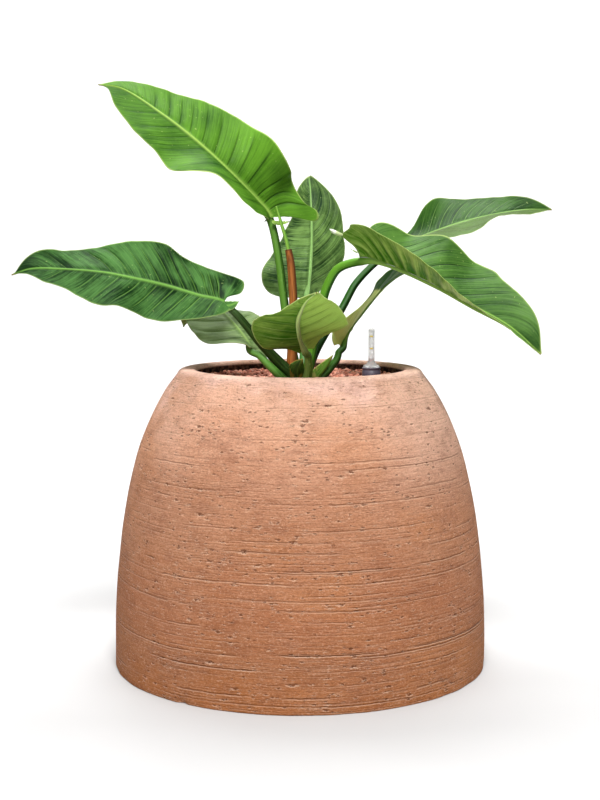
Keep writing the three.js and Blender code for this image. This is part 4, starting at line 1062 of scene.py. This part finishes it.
def terracotta():
    """Brushed terracotta, pink at the lip and browner at the foot, with grooves, pits and a gritty skin;
    painted shade in the grooves and pits, a painted highlight under each and a painted light patch high on
    one side.
    """
    s = Shading("terracotta")
    x, y, height = s.axes(s.add("ShaderNodeTexCoord").outputs["Object"])
    up = s.span(height, 0.0, POT_HEIGHT * MM, 0.0, 1.0, smooth=False)
    cloud = s.noise(s.point((9, 9, 13)), 1.0, 5.0, 0.6)
    colour = s.ramp(s.plus(up, s.span(cloud, 0.2, 0.8, -0.1, 0.1)), POT_COLOURS)
    lip = s.plus(height, s.span(cloud, 0.3, 0.7, -0.003, 0.003))
    colour = s.tint(colour, lip, (0.3605, 0.3685), LIP_COLOUR)
    patches = s.noise(s.point((7, 7, 11)), 1.0, 4.0)
    colour = s.tint(colour, patches, (0.5, 0.68, 0.0, 0.35), (212, 138, 84))
    # Painted light on the upper shoulder towards +x
    painted_light_patch = s.times(s.span(height, 0.2, 0.33), s.span(x, 0.04, 0.19, 0.0, 0.6))
    colour = s.mix(painted_light_patch, colour, linear((248, 206, 184)))
    blotch = s.noise(s.point((26, 26, 46)), 1.0, 5.0, 0.65)
    streak = s.noise(s.point((40, 40, 240)), 1.0, 4.0, 0.7)
    speckle = s.noise(s.point((330, 330, 560)), 1.0, 4.0, 0.8)
    for value, limits, new in (
            (blotch, (0.48, 0.7, 0.0, 0.35), (142, 84, 60)),
            (streak, (0.3, 0.52, 0.22, 0.0), (132, 80, 54)),
            (streak, (0.5, 0.74, 0.0, 0.22), (240, 192, 160)),
            (speckle, (0.34, 0.48, 0.38, 0.0), (112, 62, 40)),
            (speckle, (0.53, 0.68, 0.0, 0.42), (252, 210, 180))):
        colour = s.tint(colour, value, limits, new)

    wander = s.span(s.noise(s.point((5, 5, 4)), 1.0, 2.0), 0.2, 0.8, -0.0022, 0.0022, smooth=False)
    jitter = s.span(s.noise(s.point((110, 110, 90)), 1.0, 3.0), 0.2, 0.8, -0.0006, 0.0006, smooth=False)
    level = s.plus(s.plus(height, wander), jitter)
    wall = s.span(height, 0.36, 0.366, 1.0, 0.2)
    faded = s.span(height, 0.2, 0.33, 1.0, 0.35)
    worn = s.times(s.span(height, 0.1, 0.3, 1.0, 0.45),
                   s.span(s.noise(s.point((5, 5, 9)), 1.0, 2.0), 0.35, 0.65, 0.5, 1.0))
    cuts, cut_highlights = [], []
    for pitch, breadth, share, seed, wear in (
            (17.0, 1.0, 0.6, 0.0, faded), (6.0, 0.8, 0.64, 31.0, worn), (2.9, 0.65, 0.66, 77.0, worn)):
        cut, rim_highlight = level_lines(s, x, y, level, pitch, breadth, share, seed)
        cuts.append(s.times(cut, wear))
        cut_highlights.append(s.times(rim_highlight, wear))
    large, large_highlight = pit_field(s, (75, 75, 200), (13, 13, 24), (0.12, 0.38), (0.965, 0.5))
    small, small_highlight = pit_field(s, (150, 150, 380), (19, 19, 30), (0.12, 0.44), (0.93, 0.45))
    pits = s.times(s.math("MAXIMUM", large, small), wall)
    pit_highlights = s.times(s.math("MAXIMUM", large_highlight, small_highlight), wall)
    # Painted shade darkens the clay in the cuts and pits
    painted_groove_shade = s.times(s.weighted(cuts, (0.72, 0.42, 0.24)), wall)
    painted_groove_shade = s.plus(painted_groove_shade, s.times(pits, 0.66), clamp=True)
    # Painted highlights lighten the clay just under each cut and pit
    painted_highlights = s.times(s.weighted(cut_highlights, (0.55, 0.34, 0.2)), wall)
    painted_highlights = s.plus(painted_highlights, s.times(pit_highlights, 0.55), clamp=True)
    colour = s.mix(painted_highlights, colour, linear((252, 212, 182)))
    colour = s.mix(painted_groove_shade, colour, linear((112, 62, 38)))

    out = s.math("SQRT", s.plus(s.math("POWER", x, 2.0), s.math("POWER", y, 2.0)))
    # Inside the lip the wall is coloured much darker, mottled from near black to dark brown
    inside = s.times(s.span(out, 0.1332, 0.1316), s.span(height, 0.3674, 0.3646))
    inner_mottle = s.noise(s.point((170, 170, 170)), 1.0, 4.0, 0.7)
    dark = s.mix(s.span(inner_mottle, 0.42, 0.66), linear((34, 22, 16)), linear((112, 80, 62)))
    colour = s.mix(inside, colour, dark)

    grit = s.noise(s.point((380, 380, 640)), 1.0, 4.0, 0.75)
    coarse = s.noise(s.point((90, 90, 170)), 1.0, 4.0, 0.6)
    relief = s.weighted((grit, coarse, streak), (3.2, 3.2, 1.0))
    sunk = s.plus(s.times(s.weighted(cuts, (2.2, 1.3, 0.8)), wall), s.times(pits, 2.2))
    return s.finish(colour, 0.9, s.bump(s.minus(relief, sunk), MM), specular_ior_level=0.15)


# Clay granules


def icosphere():
    """Corners and faces of a ball with eighty faces."""
    import bmesh
    ball = bmesh.new()
    bmesh.ops.create_icosphere(ball, subdivisions=2, radius=1.0)
    corners = np.array([v.co[:] for v in ball.verts])
    faces = np.array([[v.index for v in f.verts] for f in ball.faces])
    ball.free()
    return corners, faces


def stalk_circles():
    """Where stalks and sheaths pass the granules' surface: points and clear radii."""
    circles = [(GAUGE_X, GAUGE_Y, PEBBLE_LEVEL, CAP_RADIUS + 0.3)]
    for spec in LEAVES.values():
        for way in np.linspace(0, 0.3, 24):
            x, y, z = curve_points(list(spec["stalk"]) + list(spec["midrib"]), way)[0]
            circles.append((x, y, z, spec["stalk_radius"] * 1.25))
    for points in [BROWN_SHEATH] + [spec["midrib"] for spec in SHEATHS.values()]:
        for way in np.linspace(0, 0.8, 16):
            x, y, z = curve_points(points, way)[0]
            circles.append((x, y, z, 6.0))
    return np.array(circles)


def make_granules():
    draw = np.random.default_rng(3)
    corners, ball = icosphere()
    circles = stalk_circles()
    points, faces, tones, rises = [], [], [], []
    spots = []
    row_step = PEBBLE_PITCH * math.sqrt(3) / 2
    reach = int(RIM_INNER_RADIUS / row_step) + 2
    for layer, (level, shift) in enumerate(((PEBBLE_LEVEL - LOWER_LAYER_DROP, 0.5), (PEBBLE_LEVEL, 0.0))):
        for j in range(-reach, reach + 1):
            for i in range(-reach - 2, reach + 3):
                x = (i + 0.5 * (j % 2) + shift) * PEBBLE_PITCH + draw.normal(0, PEBBLE_SHAKE)
                y = (j + shift) * row_step + draw.normal(0, PEBBLE_SHAKE)
                spots.append((x, y, level + draw.uniform(-2.4, 1.6), draw.uniform(0.8, 1.15), layer))
    for x, y, z, size, layer in spots:
        radius = PEBBLE_RADIUS * size
        if math.hypot(x, y) + radius > RIM_INNER_RADIUS - 0.3:
            continue
        if layer == 0 and math.hypot(x, y) < LOWER_LAYER_FROM:
            continue
        far = np.linalg.norm(circles[:, :3] - (x, y, z), axis=1) - circles[:, 3]
        flat = math.hypot(x - GAUGE_X, y - GAUGE_Y) - CAP_RADIUS
        if far.min() < radius * 0.8 or flat < radius:
            continue
        turn = draw.uniform(0, 2 * np.pi)
        squash = np.array([draw.uniform(0.92, 1.12), draw.uniform(0.9, 1.05), draw.uniform(0.85, 1.0)])
        lumps = 1 + 0.1 * np.sin(corners @ draw.normal(0, 2.4, 3) + draw.uniform(0, 6))[:, None]
        shape = corners * lumps * squash * radius
        spun = shape @ np.array([[math.cos(turn), math.sin(turn), 0], [-math.sin(turn), math.cos(turn), 0],
                                 [0, 0, 1]])
        start = len(points) * len(corners)
        points.append(spun + (x, y, z))
        faces.append(ball + start)
        tones.append(np.full(len(corners), draw.random()))
        rises.append(0.5 + 0.5 * corners[:, 2])
    body = [(0, FLOOR + 0.3), (FOOT_RADIUS - WALL - 15, FLOOR + 0.3)]
    body += [(float(dome_radius(z)) - WALL - 0.4, z) for z in (30, 110, 190, 250, 304)]
    body += [(RIM_INNER_RADIUS + 8.5, 340), (RIM_INNER_RADIUS + 1, 351)]
    body += [(RIM_INNER_RADIUS - 0.4, PEBBLE_LEVEL - BED_DROP)]
    points = np.concatenate(points)
    faces = [tuple(face) for face in np.concatenate(faces)]
    tones = np.concatenate(tones)
    start = len(points)
    turns = np.linspace(0, 2 * np.pi, BED_SIDES, endpoint=False)
    rings = [np.stack([r * np.cos(turns), r * np.sin(turns), np.full(BED_SIDES, z)], -1) for r, z in body]
    bed = np.concatenate(rings + [np.array([[0, 0, PEBBLE_LEVEL - BED_DROP]])])
    faces += grid_faces(len(body), BED_SIDES, start=start, closed=True)
    top = start + (len(body) - 1) * BED_SIDES
    faces += [(top + k, top + (k + 1) % BED_SIDES, start + len(bed) - 1) for k in range(BED_SIDES)]
    points = np.vstack([points, bed])
    tones = np.concatenate([tones, np.zeros(len(bed))])
    # The bed gets no rise, so it is painted darkest, as shade in the gaps between granules
    rises = np.concatenate(rises + [np.zeros(len(bed))])
    layers = dict(tone=tones, rise=rises)
    piece = make_piece("clay_granules_fine", points, faces, [granule_material()], None, None, layers)
    settle(piece, "pebbles", "clay_pebbles")


def granule_material():
    """Fired clay: each granule has its own red-brown, with a dusty, pitted skin, and painted shade low
    down on each granule and on the bed under them.
    """
    s = Shading("clay_granules")
    dust = s.noise(s.point((420, 420, 420)), 1.0, 4.0, 0.65)
    colour = s.tint(s.ramp(s.layer("tone"), PEBBLE_COLOURS), dust, (0.5, 0.75, 0.0, 0.4), (196, 146, 126))
    colour = s.tint(colour, dust, (0.45, 0.28, 0.0, 0.5), (62, 36, 30))
    # Painted shade: darker low on each granule, darkest on the bed beneath
    colour = s.tint(colour, s.layer("rise"), (0.1, 0.56, 0.85, 0.0), (34, 16, 12))
    return s.finish(colour, 0.9, s.bump(dust, 0.0009), specular_ior_level=0.2)


# Water gauge


def plastic(name, colour, roughness):
    s = Shading(name)
    skin = s.noise(s.point((900, 900, 900)), 1.0, 2.0)
    wear = s.noise(s.point((90, 90, 60)), 1.0, 3.0)
    lighter = tuple(min(255, 1.25 * c + 12) for c in colour)
    tone = s.mix(s.span(wear, 0.4, 0.7, 0.0, 0.5), linear(colour), linear(lighter))
    return s.finish(tone, roughness, s.bump(skin, 0.00012), specular_ior_level=0.4)


def clear_plastic():
    s = Shading("gauge_clear")
    haze = s.noise(s.point((160, 160, 60)), 1.0, 3.0)
    rough = s.span(haze, 0.3, 0.8, 0.06, 0.22)
    tone = s.mix(s.span(haze, 0.4, 0.8, 0.0, 0.5), linear((250, 250, 250)), linear((236, 238, 240)))
    return s.finish(tone, rough, None, transmission_weight=0.7, ior=1.12, specular_ior_level=0.3)


def make_gauge():
    cap = [
        (4, SHAFT_BOTTOM), (SHAFT_RADIUS, SHAFT_BOTTOM), (SHAFT_RADIUS, CAP_BOTTOM),
        (CAP_RADIUS - 0.8, CAP_BOTTOM), (CAP_RADIUS, CAP_BOTTOM + 1.5), (CAP_RADIUS, CAP_TOP - 4.6),
        (CAP_RADIUS - 0.5, CAP_TOP - 4.2), (CAP_RADIUS - 0.5, CAP_TOP - 1.8), (CAP_RADIUS, CAP_TOP - 1.4),
        (CAP_RADIUS, CAP_TOP - 0.5), (CAP_RADIUS - 0.6, CAP_TOP), (TUBE_BORE, CAP_TOP),
        (TUBE_BORE, CAP_BOTTOM + 2), (7, CAP_BOTTOM - 2), (7, SHAFT_BOTTOM + 3), (4, SHAFT_BOTTOM + 3),
        (4, SHAFT_BOTTOM),
    ]
    grey = plastic("gauge_grey", (74, 68, 80), 0.42)
    casing = turned("gauge_casing_fine", cap, 64, [grey], GAUGE_X, GAUGE_Y)
    settle(casing, "gauge_grey", "gauge_casing")
    foot = CAP_TOP + 0.3
    tube = [
        (TUBE_BORE, foot), (CAP_RADIUS - 1.4, foot), (CAP_RADIUS - 1.2, foot + 0.6),
        (CAP_RADIUS - 2.2, foot + 1.9), (CAP_RADIUS - 5, foot + 4.4), (TUBE_RADIUS + 0.7, SHOULDER_TOP - 1),
        (TUBE_RADIUS, SHOULDER_TOP + 1.2), (TUBE_RADIUS, TUBE_TOP - 1.2), (TUBE_RADIUS - 0.5, TUBE_TOP - 0.3),
        (TUBE_RADIUS - 1.1, TUBE_TOP), (0, TUBE_TOP), (0, TUBE_TOP - 2), (TUBE_BORE - 0.6, TUBE_TOP - 2),
        (TUBE_BORE, TUBE_TOP - 3), (TUBE_BORE, foot),
    ]
    clear = turned("gauge_tube_fine", tube, 64, [clear_plastic()], GAUGE_X, GAUGE_Y)
    settle(clear, "gauge_clear", "gauge_tube")
    foot = SHAFT_BOTTOM + 3.3
    body = [(0, foot), (6, foot), (6, foot + 45), (1.3, foot + 49), (1.3, 378), (2.2, 378.4), (2.4, 379),
            (2.4, 381.4), (2.0, 382), (0, 382)]
    red = turned("gauge_float_fine", body, 32, [plastic("gauge_red", (196, 52, 34), 0.35)], GAUGE_X, GAUGE_Y)
    settle(red, "gauge_red", "gauge_float")
    turns = np.radians(np.linspace(-122, -66, 9))
    under, over = TUBE_RADIUS - 0.05, TUBE_RADIUS + 0.12
    section = [(under, -0.9), (over, -0.9), (over, 0.9), (under, 0.9)]
    for n, level in enumerate(GAUGE_MARKS):
        points = [(GAUGE_X + r * math.cos(a), GAUGE_Y + r * math.sin(a), level + z)
                  for a in turns for r, z in section]
        faces = [(4 * i + k, 4 * i + (k + 1) % 4, 4 * i + 4 + (k + 1) % 4, 4 * i + 4 + k)
                 for i in range(len(turns) - 1) for k in range(4)]
        last = 4 * len(turns) - 4
        faces += [(3, 2, 1, 0), (last, last + 1, last + 2, last + 3)]
        mark = make_piece(f"gauge_mark_{n}", points, faces, [plastic(f"gauge_mark_{n}", (232, 206, 92), 0.5)])
        settle(mark, "gauge_red")


def dress_stem():
    """The short stem between the stalks: woody, ringed and green-brown."""
    s = Shading("stem_skin")
    rings = s.noise(s.point((60, 60, 420)), 1.0, 4.0)
    patches = s.noise(s.point((110, 110, 110)), 1.0, 3.0)
    colour = s.mix(s.span(rings, 0.35, 0.65), linear((70, 58, 32)), linear((126, 118, 66)))
    colour = s.tint(colour, patches, (0.5, 0.7, 0.0, 0.6), (84, 92, 44))
    material = s.finish(colour, 0.75, s.bump(rings, 0.0012), specular_ior_level=0.25)
    stem = bpy.data.objects["stem_with_roots"]
    for slot in stem.material_slots:
        slot.material = material


# Stage, light and camera


def make_stage():
    """Pale floor that bends up behind the object, so that no horizon shows."""
    s = Shading("floor")
    grain = s.noise(s.point((3, 3, 3)), 1.0, 2.0)
    colour = s.mix(s.span(grain, 0.3, 0.7), (0.55, 0.55, 0.55, 1), (0.57, 0.57, 0.57, 1))
    s.finish(colour, 0.95, specular_ior_level=0.1)
    bend = [(2.4 + 1.6 * math.sin(t), 1.6 - 1.6 * math.cos(t)) for t in np.linspace(0, math.pi / 2, 24)]
    profile = [(-1.3, 0.0), *bend, (4.0, 6.0)]
    points = [(side / MM, y / MM, z / MM) for y, z in profile for side in (-1.35, 1.35)]
    faces = [(2 * k, 2 * k + 1, 2 * k + 3, 2 * k + 2) for k in range(len(profile) - 1)]
    floor = make_piece("floor", points, faces, [s.material])
    world = bpy.data.worlds.new("studio")
    world.use_nodes = True
    tree = world.node_tree
    fill = tree.nodes["Background"]
    fill.inputs["Color"].default_value = (1, 1, 1, 1)
    fill.inputs["Strength"].default_value = 0.1
    backdrop = tree.nodes.new("ShaderNodeBackground")
    backdrop.inputs["Color"].default_value = (1, 1, 1, 1)
    seen = tree.nodes.new("ShaderNodeLightPath")
    choice = tree.nodes.new("ShaderNodeMixShader")
    tree.links.new(seen.outputs["Is Camera Ray"], choice.inputs["Fac"])
    tree.links.new(fill.outputs["Background"], choice.inputs[1])
    tree.links.new(backdrop.outputs["Background"], choice.inputs[2])
    tree.links.new(choice.outputs["Shader"], tree.nodes["World Output"].inputs["Surface"])
    bpy.context.scene.world = world


def add_light(name, place, aim, size, power):
    lamp = bpy.data.lights.new(name, "AREA")
    lamp.shape = "DISK"
    lamp.size = size
    lamp.energy = power
    light = bpy.data.objects.new(name, lamp)
    light.location = place
    way = np.asarray(aim, float) - np.asarray(place, float)
    light.rotation_euler = (math.atan2(math.hypot(way[0], way[1]), -way[2]), 0, math.atan2(-way[0], way[1]))
    bpy.context.scene.collection.objects.link(light)


def make_lights():
    add_light("key", (0.08, -1.7, 2.75), (0, 0, 0.35), 0.9, 104)
    add_light("top", (0, 0.3, 3.3), (0, 0, 0.35), 2.6, 42)
    add_light("front", (0, -3.2, 1.0), (0, 0, 0.3), 1.2, 22)
    add_light("wall", (0, 1.6, 3.4), (0, 4.0, 0.9), 3.0, 240)


def make_camera():
    data = bpy.data.cameras.new("camera")
    data.sensor_fit = "VERTICAL"
    data.sensor_height = SENSOR_HEIGHT
    data.lens = CAMERA_LENS
    camera = bpy.data.objects.new("camera", data)
    camera.location = CAMERA_PLACE
    camera.rotation_euler = (math.radians(90 - CAMERA_PITCH), 0, 0)
    bpy.context.scene.collection.objects.link(camera)
    bpy.context.scene.camera = camera


make_camera()
make_stage()
make_lights()
make_planter()
make_granules()
make_gauge()
dress_stem()
make_leaves()
make_sheaths()
make_new_leaf()
bpy.context.scene.view_settings.view_transform = "Standard"
